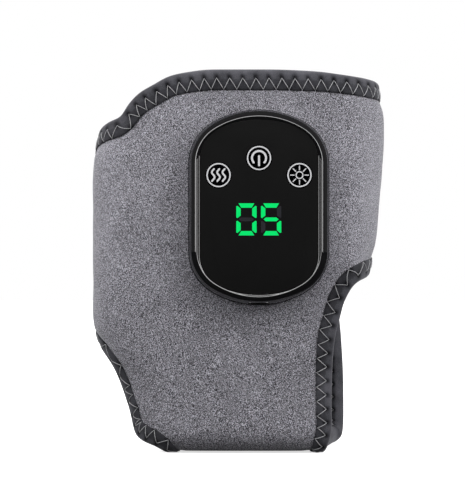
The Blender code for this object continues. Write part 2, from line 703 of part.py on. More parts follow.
def main_stations():
    """The main panel, from the far fold under the foot and up the near side. None marks
    the heel and toe cuts."""
    rows = band_rows() + corner_rows()
    start = rows[-1]
    for rise in COLLAR_ROW_SHARES:
        row = []
        for (_, run, height), top_run in zip(start, top_runs()):
            run += rise * (top_run - run)
            row.append((near_wall, run,
                        height + rise * (top_height(run) - BINDING_WIDTH - height)))
        rows.append(row)
    rows.append([(near_wall, run, top_height(run)) for run in top_runs()])
    return rows


def corner_row():
    """Number of the main panel's row that runs through the cuts' corners."""
    return 2 * BEND_ROWS + SOLE_ROWS + len(STIRRUP_ROW_SHARES)


def wing_stations(wall, attached, free, top_shares, bottom_shares):
    """A wing on the far side, from the run where it is attached to its free end."""
    toward = math.copysign(far_plan.margin, free - attached)
    runs = [attached + (free - toward - attached) * s for s in WING_COLUMN_SHARES] + [free]
    rows = []
    for r in range(len(WING_ROW_SHARES) + 2):
        row = []
        for run in runs:
            share = (run - attached) / (free - attached)
            bottom = along(bottom_shares, share) * WRAP_HEIGHT
            top = along(top_shares, share) * WRAP_HEIGHT
            row.append((wall, run, spread(WING_ROW_SHARES, bottom, top, BINDING_WIDTH)[r]))
        rows.append(row)
    for row, inward in ((rows[0], 1), (rows[-1], -1)):
        height = row[-1][2] + inward * BINDING_WIDTH * CORNER_SHARE
        row[-1] = (wall, free - toward * CORNER_SHARE, height)
    return rows if free > attached else [row[::-1] for row in rows]


def foot_stations():
    """The foot flap, which rises from the far fold."""
    bottom = BEND_RADIUS + CLEARANCE
    rows = []
    for rise in FOOT_ROW_SHARES + (None,):
        level = 1.0 if rise is None else rise
        height = bottom + level * (FOOT_FLAP_HEIGHT - bottom)
        low = far_run(along(FOOT_TOE_SIDE_SHARES, level) * HALF_WIDTH, height)
        high = far_run(along(FOOT_HEEL_SIDE_SHARES, level) * HALF_WIDTH, height)
        row = []
        for run in spread(FOOT_COLUMN_SHARES, low, high, far_plan.margin):
            top = FOOT_FLAP_HEIGHT * along(FOOT_TOP_SHARES, (run - low) / (high - low))
            under_tape = bottom + level * (top - BINDING_WIDTH - bottom)
            row.append((far_wall, run, top if rise is None else under_tape))
        rows.append(row)
    draw = far_plan.margin * CORNER_SHARE
    for end, inward in ((0, draw), (-1, -draw)):
        wall, run, height = rows[-1][end]
        rows[-1][end] = (wall, run + inward, height - BINDING_WIDTH * CORNER_SHARE)
    return rows


def inward_step(rows, r, c):
    """Which way the cloth lies from a point on its edge, as steps of rows and columns."""
    def present(dr, dc):
        return (0 <= r + dr < len(rows) and 0 <= c + dc < len(rows[0])
                and rows[r + dr][c + dc] is not None)

    step = (present(1, 0) - present(-1, 0), present(0, 1) - present(0, -1))
    if step == (0, 0):
        for diagonal in ((1, 1), (1, -1), (-1, 1), (-1, -1)):
            if not present(*diagonal):
                return (-diagonal[0], -diagonal[1])
    return step


def drawn_in(points):
    """The same grid with its edges a little way in, for a layer cut back behind the tape."""
    moved = []
    for r, row in enumerate(points):
        moved.append([])
        for c, point in enumerate(row):
            if point is not None:
                dr, dc = inward_step(points, r, c)
                point = point.lerp(points[r + dr][c + dc], FOAM_SETBACK / BINDING_WIDTH)
            moved[-1].append(point)
    return moved


def trimmed(rows, left=0, right=0, bottom=0, top=0):
    return [row[left:len(row) - right] for row in rows[bottom:len(rows) - top]]


# Cloth

def sheet(name, outer, inner, parent, material, guide=None):
    """A sheet between a grid of points on its outer face and the same grid on its inner. Its
    cells are split as in the guide's grid."""
    guide_points = [point for row in guide or outer for point in row]
    outer_points = [point for row in outer for point in row]
    inner_points = [point for row in inner for point in row]
    bm = bmesh.new()
    station = bm.verts.layers.int.new("station")
    bmesh.ops.create_grid(bm, x_segments=len(outer[0]) - 1, y_segments=len(outer) - 1, size=1)
    for index, vert in enumerate(bm.verts):
        vert[station] = index
        vert.co = guide_points[index] or Vector()
    missing = [vert for vert in bm.verts if outer_points[vert[station]] is None]
    bmesh.ops.delete(bm, geom=missing, context="VERTS")
    # Every layer splits a warped cell along the same short diagonal, and so stays parallel
    bmesh.ops.triangulate(bm, faces=bm.faces, quad_method="SHORT_EDGE")
    for vert in bm.verts:
        vert.co = outer_points[vert[station]] - origins[parent.name]
    made = bmesh.ops.extrude_face_region(bm, geom=bm.faces[:], use_keep_orig=True)["geom"]
    for vert in made:
        if isinstance(vert, bmesh.types.BMVert):
            vert.co = inner_points[vert[station]] - origins[parent.name]
    bmesh.ops.remove_doubles(bm, verts=bm.verts, dist=WELD_DISTANCE)
    bmesh.ops.recalc_face_normals(bm, faces=bm.faces)
    return new_part(name, mesh_from(bm, name), parent, material)


def points_at(stations, depth):
    return [[station and inside(station, depth) for station in row] for row in stations]


def layer(name, stations, depth, thickness, parent, material, setback=False):
    faces = [points_at(stations, level) for level in (depth, depth + thickness)]
    if setback:
        faces = [drawn_in(points) for points in faces]
    return sheet(name, *faces, parent, material, guide=points_at(stations, 0.0))


def stack(name, stations, parent):
    """Cover, foam and lining of a wing or flap, which has no heating film."""
    layer(name + "_cover", stations, 0.0, COVER_THICKNESS, parent, "grey_velour")
    layer(name + "_foam", stations, FOAM_DEPTH, FLAP_FOAM_THICKNESS, parent, "white_foam",
          setback=True)
    layer(name + "_lining", stations, LINING_DEPTH, LINING_THICKNESS, parent, "dark_lining")


def edge_pairs(stations, edges):
    """Stations along some edges, clockwise seen from outside, each with the one a tape's
    width in from it."""
    top, right = len(stations) - 1, len(stations[0]) - 1
    runs = {
        "left": [(r, 0) for r in range(top + 1)],
        "top": [(top, c) for c in range(right + 1)],
        "right": [(r, right) for r in reversed(range(top + 1))],
        "bottom": [(0, c) for c in reversed(range(right + 1))],
    }
    path = []
    for edge in edges:
        path += [spot for spot in runs[edge] if spot not in path]
    low_row, high_row = int("bottom" in edges), top - int("top" in edges)
    low_column, high_column = int("left" in edges), right - int("right" in edges)
    pairs = []
    for r, c in path:
        inner_row = min(max(r, low_row), high_row)
        inner_column = min(max(c, low_column), high_column)
        pairs.append((stations[r][c], stations[inner_row][inner_column]))
    return pairs


def cut_pairs(stations, column, inner_column):
    """Stations along a cut, from the sole up to its corner and out to the silhouette, each
    with the one a tape's width in from it."""
    corner = corner_row()
    pairs = [(stations[r][column], stations[r][inner_column]) for r in range(corner + 1)]
    for r, c in ((corner + 1, inner_column), (corner + 1, column)):
        pairs.append((stations[corner][column], stations[r][c]))
    outward = column - inner_column
    while 0 <= column + outward < len(stations[0]):
        column += outward
        pairs.append((stations[corner][column], stations[corner + 1][column]))
    return pairs


def away_from_edge(pairs, index):
    """Square out from the edge in the cloth, lengthened where the edge turns a corner."""
    here = inside(pairs[index][0], 0.0)
    normal = face_normal(pairs[index][0])
    points = [inside(edge, 0.0) for edge, _ in pairs]
    before = [p for p in points[:index] if (p - here).length > WELD_DISTANCE]
    after = [p for p in points[index:] if (p - here).length > WELD_DISTANCE]
    sides = []
    if before:
        sides.append(normal.cross(here - before[-1]).normalized())
    if after:
        sides.append(normal.cross(after[0] - here).normalized())
    return (sides[0] + sides[-1]) / (1 + sides[0].dot(sides[-1]))


def binding(name, pairs, parent):
    """Tape folded over an edge: an outer leg, a web past the edge and an inner leg."""
    faces = []
    for standoff in (TAPE_STANDOFF, CLEARANCE):
        rows = []
        for index, (edge, inset) in enumerate(pairs):
            away = away_from_edge(pairs, index) * standoff
            behind = STACK_DEPTH + standoff
            rows.append([inside(inset, -standoff), inside(edge, -standoff) + away,
                         inside(edge, behind) + away, inside(inset, behind)])
        faces.append(rows)
    return sheet(name, *faces, parent, "grey_binding")


def moved_along(pair, other, change):
    """A pair of stations moved a change of run along the edge, toward the next pair."""
    share = change / abs(other[0][1] - pair[0][1])
    return tuple((surface, run + (next_run - run) * share, height + (next_height - height) * share)
                 for (surface, run, height), (_, next_run, next_height) in zip(pair, other))


def build_main_panel():
    stations = main_stations()
    cover = layer("main_panel_cover", stations, 0.0, COVER_THICKNESS, wrap, "grey_velour")
    foam = layer("main_panel_foam", stations, FOAM_DEPTH, FOAM_THICKNESS, wrap, "white_foam",
                 setback=True)
    layer("main_panel_lining", stations, LINING_DEPTH, LINING_THICKNESS, wrap, "dark_lining")
    columns = len(stations[0])
    heated = trimmed(stations, left=heel_column() + 1, right=columns - toe_column(),
                     bottom=corner_row() + 1, top=1)
    layer("heating_film", heated, FILM_DEPTH, FILM_THICKNESS, wrap, "heating_film")

    holes = pegs("cloth_holes", BOSS_SPOTS + LEAD_SPOTS, PLATE_SCREW_RADIUS + CLEARANCE,
                 -CLEARANCE - COVER_THICKNESS - OVERRUN, 0.0)
    combine(cover, new_cutter("cloth_holes", holes, controller), "DIFFERENCE")
    window = slab("plate_window", PLATE_WIDTH + 2 * CLEARANCE, PLATE_HEIGHT + 2 * CLEARANCE,
                  FILM_FRONT, 0.0, PLATE_CORNER_RADIUS + CLEARANCE)
    combine(foam, new_cutter("plate_window", window, controller), "DIFFERENCE")

    binding("heel_binding", cut_pairs(stations, heel_column(), heel_column() + 1), wrap)
    toe_pairs = cut_pairs(stations, toe_column(), toe_column() - 1)
    binding("toe_binding", toe_pairs[::-1], wrap)
    top_pairs = edge_pairs(stations, ["top"])
    notch = len(TOP_BEFORE_NOTCH_SHARES)
    before, here, after = top_pairs[notch - 1:notch + 2]
    part = near_plan.gap + BINDING_THICKNESS / near_plan.girth
    binding("shoulder_binding", top_pairs[:notch] + [moved_along(here, before, part)], wrap)
    binding("tongue_binding", [moved_along(here, after, part)] + top_pairs[notch + 1:], wrap)


def build_rear_wing():
    stations = wing_stations(wing_wall, 1 - far_plan.gap, far_run(WING_END_X, CONTROLLER_Z),
                             WING_TOP_SHARES, WING_BOTTOM_SHARES)
    stack("rear_wing", stations, wrap)
    binding("rear_wing_binding", edge_pairs(stations, ["bottom", "left", "top"]), wrap)


def hook_patch(name, start_x, end_x, bottom, top, parent):
    """Hook tape sewn to the inside of a flap."""
    level = (bottom + top) / 2
    start, end = far_run(start_x, level), far_run(end_x, level)
    stations = [[(far_wall, start + (end - start) * share, height)
                 for share in FOOT_COLUMN_SHARES] for height in (bottom, top)]
    layer(name, stations, HOOK_DEPTH, HOOK_THICKNESS, parent, "hook_tape")


def build_collar_flap():
    stations = wing_stations(far_wall, far_plan.gap, far_run(COLLAR_FLAP_END_X, CONTROLLER_Z),
                             COLLAR_TOP_SHARES, COLLAR_BOTTOM_SHARES)
    stack("collar_flap", stations, collar_hinge)
    binding("collar_flap_binding", edge_pairs(stations, ["top", "right", "bottom"]),
            collar_hinge)
    hook_patch("collar_hook_patch", COLLAR_HOOK_START_X, COLLAR_HOOK_END_X,
               COLLAR_HOOK_BOTTOM, COLLAR_HOOK_TOP, collar_hinge)


def build_foot_flap():
    stations = foot_stations()
    stack("foot_flap", stations, foot_hinge)
    binding("foot_flap_binding", edge_pairs(stations, ["left", "top", "right"]), foot_hinge)
    hook_patch("foot_hook_patch", FOOT_HOOK_HALF_WIDTH, -FOOT_HOOK_HALF_WIDTH,
               FOOT_HOOK_TOP - FOOT_HOOK_HEIGHT, FOOT_HOOK_TOP, foot_hinge)


# Controller, drawn face up: its X is the wrap's X, its Y is up and its Z points at the viewer

def build_base_housing():
    rings = [case_ring(BASE_CHAMFER, 0.0), case_ring(0.0, BASE_CHAMFER),
             case_ring(0.0, BASE_DEPTH - BASE_CHAMFER), case_ring(BEZEL_STEP, BASE_DEPTH),
             case_ring(BASE_WALL, BASE_DEPTH), case_ring(BASE_WALL, BASE_FLOOR)]
    base = new_part("base_housing", loft("base_housing", rings), controller, "dark_matte")
    sunk = BASE_FLOOR / 2
    bosses = pegs("bosses", BOSS_SPOTS, BOSS_RADIUS, sunk, BASE_FLOOR + BOSS_HEIGHT)
    posts = pegs("posts", POST_SPOTS, POST_RADIUS, sunk, BOARD_BACK - CLEARANCE)
    combine(base, new_cutter("bosses", bosses, controller), "UNION")
    combine(base, new_cutter("posts", posts, controller), "UNION")
    tip = PLATE_BACK + CLEARANCE + PLATE_SCREW_HEAD_HEIGHT + PLATE_SCREW_LENGTH
    pilots = pegs("boss_pilots", BOSS_SPOTS, PLATE_SCREW_RADIUS + CLEARANCE, -OVERRUN,
                  tip + CLEARANCE)
    combine(base, new_cutter("boss_pilots", pilots, controller), "DIFFERENCE")
    bottom = BOARD_FRONT + CLEARANCE - BOARD_SCREW_LENGTH - CLEARANCE
    pilots = pegs("post_pilots", POST_SPOTS, BOARD_SCREW_RADIUS + CLEARANCE, bottom,
                  BOARD_FRONT)
    combine(base, new_cutter("post_pilots", pilots, controller), "DIFFERENCE")
    hole = pegs("base_lead_hole", LEAD_SPOTS, LEAD_RADIUS + CLEARANCE, -OVERRUN,
                BASE_FLOOR + OVERRUN)
    combine(base, new_cutter("base_lead_hole", hole, controller), "DIFFERENCE")


def socket_level():
    return SEAT + SOCKET_HEIGHT / 2


def build_bezel():
    back = BASE_DEPTH + CLEARANCE
    height = CASE_DEPTH - back
    ring_width = (CASE_WIDTH - LENS_WIDTH) / 2 - BEZEL_STEP - CLEARANCE
    rings = [case_ring(BEZEL_STEP, back)]
    for inset, level in BEZEL_FRONT_SHARES:
        rings.append(case_ring(BEZEL_STEP + inset * ring_width, back + level * height))
    rings += [lens_ring(-CLEARANCE, CASE_DEPTH - LENS_RECESS / 2),
              lens_ring(-CLEARANCE, LEDGE_FRONT), lens_ring(LEDGE_WIDTH, LEDGE_FRONT),
              lens_ring(LEDGE_WIDTH, LEDGE_FRONT - LEDGE_THICKNESS),
              case_ring(BEZEL_STEP + BEZEL_WALL, LEDGE_FRONT - LEDGE_THICKNESS),
              case_ring(BEZEL_STEP + BEZEL_WALL, back)]
    bezel = new_part("bezel", loft("bezel", rings, closed=True), controller, "black_gloss")
    slot = slab("socket_slot", SOCKET_WIDTH + 2 * CLEARANCE, SOCKET_LENGTH + OVERRUN,
                SEAT - CLEARANCE, SEAT + SOCKET_HEIGHT + CLEARANCE,
                centre=(0.0, SOCKET_LENGTH / 2 - HALF_CASE))
    combine(bezel, new_cutter("socket_slot", slot, controller), "DIFFERENCE")


def build_lens():
    rings = [lens_ring(0.0, LENS_BACK), lens_ring(0.0, LENS_FRONT)]
    lens = new_part("display_lens", loft("display_lens", rings), controller, "black_lens")
    holes = pegs("key_holes", KEY_SPOTS.values(), KEY_RADIUS + CLEARANCE, LENS_BACK - OVERRUN,
                 LENS_FRONT + OVERRUN, ROUND_SIDES)
    combine(lens, new_cutter("key_holes", holes, controller), "DIFFERENCE")


def build_keys():
    """Each key stands in the lens, with a lip behind it, over its own switch."""
    front, lip_front, back = (level - KEY_BACK for level in (LENS_FRONT, KEY_LIP_FRONT, KEY_BACK))
    profile = [(0.0, front), (KEY_RADIUS - KEY_ROUNDING, front),
               (KEY_RADIUS, front - KEY_ROUNDING), (KEY_RADIUS, lip_front),
               (KEY_LIP_RADIUS, lip_front), (KEY_LIP_RADIUS, back), (0.0, back)]
    for name, (x, y) in KEY_SPOTS.items():
        turned(name + "_key", profile, controller, "black_gloss", (x, y, KEY_BACK))
        build_switch(name + "_switch", x, y)


def build_switch(name, x, y):
    bm = bmesh.new()
    bmesh.ops.create_cube(bm, size=1)
    bmesh.ops.scale(bm, verts=bm.verts, vec=(SWITCH_WIDTH, SWITCH_WIDTH, SWITCH_HEIGHT))
    bm.faces.ensure_lookup_table()
    top = max(bm.faces, key=lambda face: face.calc_center_median().z)
    bmesh.ops.inset_individual(bm, faces=[top], thickness=(SWITCH_WIDTH - PLUNGER_WIDTH) / 2)
    rise = PLUNGER_FRONT - SEAT - SWITCH_HEIGHT
    raised = bmesh.ops.extrude_discrete_faces(bm, faces=[top])["faces"]
    bmesh.ops.translate(bm, verts=raised[0].verts, vec=(0.0, 0.0, rise))
    new_part(name, mesh_from(bm, name), controller, "dark_matte",
             (x, y, SEAT + SWITCH_HEIGHT / 2))


def build_board():
    half = BOARD_WIDTH / 2
    tongue = TONGUE_WIDTH / 2
    end = TONGUE_MARGIN - HALF_CASE
    outline = [(-half, BOARD_TOP), (-half, -BOARD_BOTTOM), (-tongue, -BOARD_BOTTOM),
               (-tongue, end), (tongue, end), (tongue, -BOARD_BOTTOM),
               (half, -BOARD_BOTTOM), (half, BOARD_TOP)]
    rings = [[(x, y, level) for x, y in outline] for level in (BOARD_BACK, BOARD_FRONT)]
    board = new_part("circuit_board", loft("circuit_board", rings), controller, "green_board")
    holes = pegs("board_holes", POST_SPOTS, BOARD_SCREW_RADIUS + CLEARANCE,
                 BOARD_BACK - CLEARANCE, BOARD_FRONT + CLEARANCE)
    combine(board, new_cutter("board_holes", holes, controller), "DIFFERENCE")
    display = slab("led_display", DISPLAY_WIDTH, DISPLAY_HEIGHT, SEAT, LENS_BACK - CLEARANCE,
                   centre=(0.0, DISPLAY_Y))
    new_part("led_display", display, controller, "dark_matte")


def build_battery():
    cell = slab("battery", BATTERY_WIDTH, BATTERY_HEIGHT, BATTERY_BACK,
                BATTERY_BACK + BATTERY_THICKNESS, BATTERY_ROUNDING)
    new_part("battery", cell, controller, "silver_foil")


def build_socket():
    """A thin shell with a mouth in its lower end."""
    bm = bmesh.new()
    bmesh.ops.create_cube(bm, size=1)
    bmesh.ops.scale(bm, verts=bm.verts, vec=(SOCKET_WIDTH, SOCKET_LENGTH, SOCKET_HEIGHT))
    lengthwise = [e for e in bm.edges if e.verts[0].co.xz == e.verts[1].co.xz]
    bmesh.ops.bevel(bm, geom=lengthwise, offset=SOCKET_ROUNDING, segments=ROUNDING_STEPS,
                    affect="EDGES", profile=0.5, material=-1)
    mouth = min(bm.faces, key=lambda face: face.calc_center_median().y)
    bmesh.ops.inset_individual(bm, faces=[mouth], thickness=SOCKET_WALL)
    bottom = bmesh.ops.extrude_discrete_faces(bm, faces=[mouth])["faces"]
    bmesh.ops.translate(bm, verts=bottom[0].verts, vec=(0.0, SOCKET_MOUTH_DEPTH, 0.0))
    middle = SOCKET_INSET + SOCKET_LENGTH / 2 - HALF_CASE
    new_part("charging_socket", mesh_from(bm, "charging_socket"), controller, "steel",
             (0.0, middle, socket_level()))


def build_screws():
    """Plate screws go in from behind the cloth, board screws from the front."""
    profile = screw_profile(PLATE_SCREW_RADIUS, PLATE_SCREW_HEAD_RADIUS,
                            PLATE_SCREW_HEAD_HEIGHT, PLATE_SCREW_LENGTH)
    for number, (x, y) in enumerate(BOSS_SPOTS, 1):
        place = (x, y, PLATE_BACK + CLEARANCE)
        turned(f"plate_screw_{number}", profile, controller, "steel", place,
               (math.pi, 0.0, 0.0), SMALL_SIDES)
    profile = screw_profile(BOARD_SCREW_RADIUS, BOARD_SCREW_HEAD_RADIUS,
                            BOARD_SCREW_HEAD_HEIGHT, BOARD_SCREW_LENGTH)
    for number, (x, y) in enumerate(POST_SPOTS, 1):
        place = (x, y, BOARD_FRONT + CLEARANCE + BOARD_SCREW_HEAD_HEIGHT)
        turned(f"board_screw_{number}", profile, controller, "steel", place,
               sides=SMALL_SIDES)


def screw_profile(radius, head_radius, head_height, length):
    return [(0.0, 0.0), (head_radius, 0.0), (head_radius, -head_height),
            (radius, -head_height), (radius, -head_height - length),
            (0.0, -head_height - length)]


def build_backing_plate():
    plate = slab("backing_plate", PLATE_WIDTH, PLATE_HEIGHT, PLATE_BACK, PLATE_FRONT,
                 PLATE_CORNER_RADIUS)
    plate = new_part("backing_plate", plate, controller, "dark_matte")
    holes = pegs("plate_holes", BOSS_SPOTS + LEAD_SPOTS, PLATE_SCREW_RADIUS + CLEARANCE,
                 PLATE_BACK - OVERRUN, PLATE_FRONT + OVERRUN)
    combine(plate, new_cutter("plate_holes", holes, controller), "DIFFERENCE")
    seats = pegs("head_seats", BOSS_SPOTS, PLATE_SCREW_HEAD_RADIUS + CLEARANCE,
                 PLATE_BACK - OVERRUN, PLATE_BACK + PLATE_SCREW_HEAD_HEIGHT + 2 * CLEARANCE)
    combine(plate, new_cutter("head_seats", seats, controller), "DIFFERENCE")


def build_heater_lead():
    low, high = FILM_FRONT + CLEARANCE, BOARD_BACK - CLEARANCE
    new_part("heater_lead", pegs("heater_lead", LEAD_SPOTS, LEAD_RADIUS, low, high), controller,
             "red_wire")


def build_motor(side, sign):
    """A motor with its shaft pointing outwards, and the eccentric weight on the shaft."""
    bore = SHAFT_RADIUS + CLEARANCE
    profile = [(0.0, MOTOR_LENGTH - MOTOR_BORE_DEPTH), (bore, MOTOR_LENGTH - MOTOR_BORE_DEPTH),
               (bore, MOTOR_LENGTH), (MOTOR_RADIUS, MOTOR_LENGTH), (MOTOR_RADIUS, 0.0),
               (0.0, 0.0)]
    turn = (0.0, sign * math.pi / 2, 0.0)
    turned(side + "_motor", profile, controller, "steel",
           (sign * MOTOR_INNER_X, MOTOR_Y, MOTOR_LEVEL), turn)
    bm = bmesh.new()
    bmesh.ops.create_cone(bm, cap_ends=True, segments=ROUND_SIDES, radius1=WEIGHT_RADIUS,
                          radius2=WEIGHT_RADIUS, depth=WEIGHT_LENGTH)
    geometry = bm.verts[:] + bm.edges[:] + bm.faces[:]
    cut = bmesh.ops.bisect_plane(bm, geom=geometry, plane_co=(0.0, WEIGHT_BACK, 0.0),
                                 plane_no=(0.0, 1.0, 0.0), clear_outer=True)
    edges = [g for g in cut["geom_cut"] if isinstance(g, bmesh.types.BMEdge)]
    bmesh.ops.contextual_create(bm, geom=edges)
    bmesh.ops.translate(bm, verts=bm.verts, vec=(0.0, 0.0, WEIGHT_GAP + WEIGHT_LENGTH / 2))
    bmesh.ops.recalc_face_normals(bm, faces=bm.faces)
    name = side + "_motor_weight"
    hub = new_empty(side + "_motor_axis",
                    (sign * MOTOR_OUTER_X, MOTOR_Y, MOTOR_LEVEL),
                    controller, turn)
    weight = new_part(name, mesh_from(bm, name), hub, "steel")
    shaft = pegs(side + "_shaft", [(0.0, 0.0)], SHAFT_RADIUS, CLEARANCE - MOTOR_BORE_DEPTH,
                 WEIGHT_GAP + WEIGHT_LENGTH + CLEARANCE)
    combine(weight, new_cutter(side + "_shaft", shaft, hub), "UNION")


clear_scene()
parts = new_collection("heated_ankle_massager")
cutters = new_collection("cutters", hidden=True)
materials = {name: new_material(name, *look) for name, look in MATERIALS.items()}

wrap = new_empty("wrap", (0.0, WRAP_SHIFT, TAPE_STANDOFF))
collar_hinge = new_empty("collar_hinge", (HINGE_X, 0.0, 0.0), wrap)
foot_hinge = new_empty("foot_hinge", (0.0, HINGE_Y, BEND_RADIUS), wrap)
controller = new_empty("controller", (CONTROLLER_X, -WRAP_HALF_DEPTH - CLEARANCE, CONTROLLER_Z),
                       wrap, (math.pi / 2, 0.0, 0.0))
origins = {"wrap": Vector(), "collar_hinge": collar_hinge.location.copy(),
           "foot_hinge": foot_hinge.location.copy()}

build_main_panel()
build_rear_wing()
build_collar_flap()
build_foot_flap()
build_base_housing()
build_bezel()
build_lens()
build_keys()
build_board()
build_battery()
build_socket()
build_screws()
build_backing_plate()
build_heater_lead()
build_motor("left", -1)
build_motor("right", 1)
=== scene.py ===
import math

import bmesh
import bpy
import numpy as np
from mathutils import Matrix, Vector, kdtree


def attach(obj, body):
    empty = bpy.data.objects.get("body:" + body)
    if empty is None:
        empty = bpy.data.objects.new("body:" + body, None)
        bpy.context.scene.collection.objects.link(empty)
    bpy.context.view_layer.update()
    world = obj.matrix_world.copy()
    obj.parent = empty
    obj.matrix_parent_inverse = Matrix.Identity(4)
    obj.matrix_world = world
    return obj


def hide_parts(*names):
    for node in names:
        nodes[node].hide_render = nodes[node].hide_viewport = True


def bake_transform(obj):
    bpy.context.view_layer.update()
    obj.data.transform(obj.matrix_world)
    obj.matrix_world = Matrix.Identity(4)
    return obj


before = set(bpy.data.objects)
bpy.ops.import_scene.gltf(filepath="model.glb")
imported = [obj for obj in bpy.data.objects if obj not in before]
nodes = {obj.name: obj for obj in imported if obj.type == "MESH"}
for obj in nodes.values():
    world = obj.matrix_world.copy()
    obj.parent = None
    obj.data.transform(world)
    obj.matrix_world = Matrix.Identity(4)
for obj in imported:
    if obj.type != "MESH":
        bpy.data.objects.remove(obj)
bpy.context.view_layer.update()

print("Frame loaded:", len(nodes), "nodes")

# The wrap's form. Tables give shares of its half width at shares of its height
wrapForm = {
    "halfWidth": 0.06925,
    "height": 0.1767,
    "halfDepth": 0.0400,
    "wingHalfDepth": 0.0314,
    "bendRadius": 0.0105,
    "shiftY": 0.00725,
    "shiftZ": 0.0008,
    "nearSquareness": 3.6,
    "farSquareness": 4.2,
    "planSamples": 2400,
    "flatShare": 1.25,
    "flatFadeShare": 1.70,
    "leftProfile": ((0, .75), (.07, .76), (.143, .8), (.217, .875), (.269, .935), (.291, .957),
                    (.307, .976), (.3225, .993), (.38, 1), (.675, 1), (.775, .994),
                    (.8077, .972), (.84, .952), (.864, .945), (1, .94)),
    "rightProfile": ((0, .88), (.456, .884), (.488, .9), (.51, .915), (.5425, .936), (.575, .95),
                     (.64, .964), (.736, .984), (.835, .998), (.868, .998), (.9, .992),
                     (.938, .966), (.976, .952), (1, .936)),
}

# The edges of the cloth, in the same shares
edgeForm = {
    "heelCornerShare": .2428,
    "toeCornerShare": .4409,
    "heelEdge": ((0, -.715), (.075, -.721), (.247, -.737), (.42, -.763), (.595, -.791),
                 (.772, -.822), (.944, -.866), (1, -.884)),
    "toeEdge": ((0, .625), (.22, .622), (.43, .628), (.535, .636), (.645, .647), (.774, .679),
                (.87, .701), (.932, .732), (.982, .761), (1, .777)),
    "heelCut": ((0, 1.07), (.35, 1.075), (.68, 1.066), (1, 1)),
    "toeCut": ((0, 1), (.15, 1.023), (.3, 1.033), (.62, 1.041), (1, 1.045)),
    "heelSole": ((0, -.647), (1, -.59), (2, -.5), (2.4, -.555), (2.6, -.648), (2.8, -.698),
                 (3, -.715)),
    "toeSole": ((0, .755), (.5, .745), (1, .69), (2, .585), (3, .625)),
    "shoulder": .839,
    "tongue": ((-.85, .879), (-.802, .9105), (-.76, .9265), (-.719, .941), (-.635, .957),
               (-.55, .975), (-.505, .983), (-.377, .9928), (-.19, 1), (.23, 1), (.407, .9985),
               (.604, .9955), (.703, .992), (.8, .9885), (.906, .984), (1, .98)),
    "wingTop": ((0, .839), (.5, .832), (1, .815)),
    "wingBottom": ((0, .2598), (.4, .257), (1, .255)),
    "wingEndX": 0.0220,
    "flapTop": ((0, .98), (.45, .955), (1, .88)),
    "flapBottom": ((0, .4607), (.45, .495), (1, .575)),
    "flapEndX": -0.0280,
    "footHeelSide": ((0, -.647), (.6, -.660), (.85, -.640), (1, -.590)),
    "footToeSide": ((0, .755), (.3, .752), (.6, .738), (.85, .712), (1, .65)),
    "footTop": ((0, .965), (.3, 1), (.6, .990), (1, .920)),
    "footFlapHeight": 0.0749,
    "flapCornerRadius": 0.0110,
    "soleSeamTurn": 1.5,
    "notchSoftness": 0.0060,
}

# Depths of the layers below the outer face
layerForm = {
    "cover": 0.0010,
    "foam": (0.0013, 0.0043),
    "flapFoam": (0.0013, 0.0050),
    "lining": (0.0053, 0.0061),
    "foamHole": (0.031, 0.036),
    "foamHoleShare": 0.99,
    "hook": (0.0064, 0.0075),
    "tapeWidth": 0.0090,
    "coverInset": 0.0026,
    "seamGap": 0.00005,
    "foamInset": 0.0034,
    "coverCell": 0.0016,
    "foamCell": 0.0045,
    "liningCell": 0.0030,
    "nearRowsShare": 0.62,
    "footColumnsShare": 1.3,
}

# The controller's place and outline, and the levels of its pieces above the cloth
caseForm = {
    "x": 0.0092,
    "y": -0.03305,
    "z": 0.1142,
    "width": 0.0650,
    "height": 0.0902,
    "endRadius": 0.0420,
    "cornerRadius": 0.0220,
    "lensWidth": 0.0538,
    "lensHeight": 0.0798,
    "lensEndRadius": 0.0450,
    "lensCornerRadius": 0.0160,
    "depth": 0.0150,
    "calmShares": (1.02, 1.5),
    "outlineSteps": 14,
}

halfWidth, wrapHeight, bendRadius = (wrapForm[key] for key in ("halfWidth", "height", "bendRadius"))


# Curves through tables

def along(table, at):
    # A smooth curve through a table of places and values, with no swings between them
    places, values = np.array(table, float).T
    at = np.clip(at, places[0], places[-1])
    steps = np.diff(places)
    slopes = np.diff(values) / steps
    before, after = slopes[:-1], slopes[1:]
    both = np.where(before + after == 0, 1, before + after)
    inner = np.where(before * after <= 0, 0, 2 * before * after / both)
    tangents = np.concatenate(([slopes[0]], inner, [slopes[-1]]))
    i = np.clip(np.searchsorted(places, at, side="right") - 1, 0, len(steps) - 1)
    t = (at - places[i]) / steps[i]
    return (values[i] * (1 + 2 * t) * (1 - t) ** 2 + tangents[i] * steps[i] * t * (1 - t) ** 2
            + values[i + 1] * t * t * (3 - 2 * t) - tangents[i + 1] * steps[i] * t * t * (1 - t))


def smoothStep(low, high, value):
    t = np.clip((value - low) / (high - low), 0, 1)
    return t * t * (3 - 2 * t)


class PlanCurve:
    # Half of the wrap's plan, read by its run from the heel side (0) to the toe side (1)
    def __init__(self, squareness):
        turns = np.linspace(0, math.pi, wrapForm["planSamples"])
        power = 2 / squareness
        self.across = -np.sign(np.cos(turns)) * np.abs(np.cos(turns)) ** power
        self.out = np.abs(np.sin(turns)) ** power
        self.out[[0, -1]] = 0
        lengths = np.hypot(np.diff(self.across) * halfWidth,
                           np.diff(self.out) * wrapForm["halfDepth"])
        self.girth = lengths.sum()
        self.runs = np.concatenate(([0], np.cumsum(lengths))) / self.girth

    def at(self, run):
        inside = np.where(run < 0, -run, np.where(run > 1, 2 - run, run))
        across = np.interp(inside, self.runs, self.across)
        out = np.interp(inside, self.runs, self.out)
        return across, np.where(inside == run, out, -out)

    def runAt(self, across):
        return np.interp(across, self.across, self.runs)


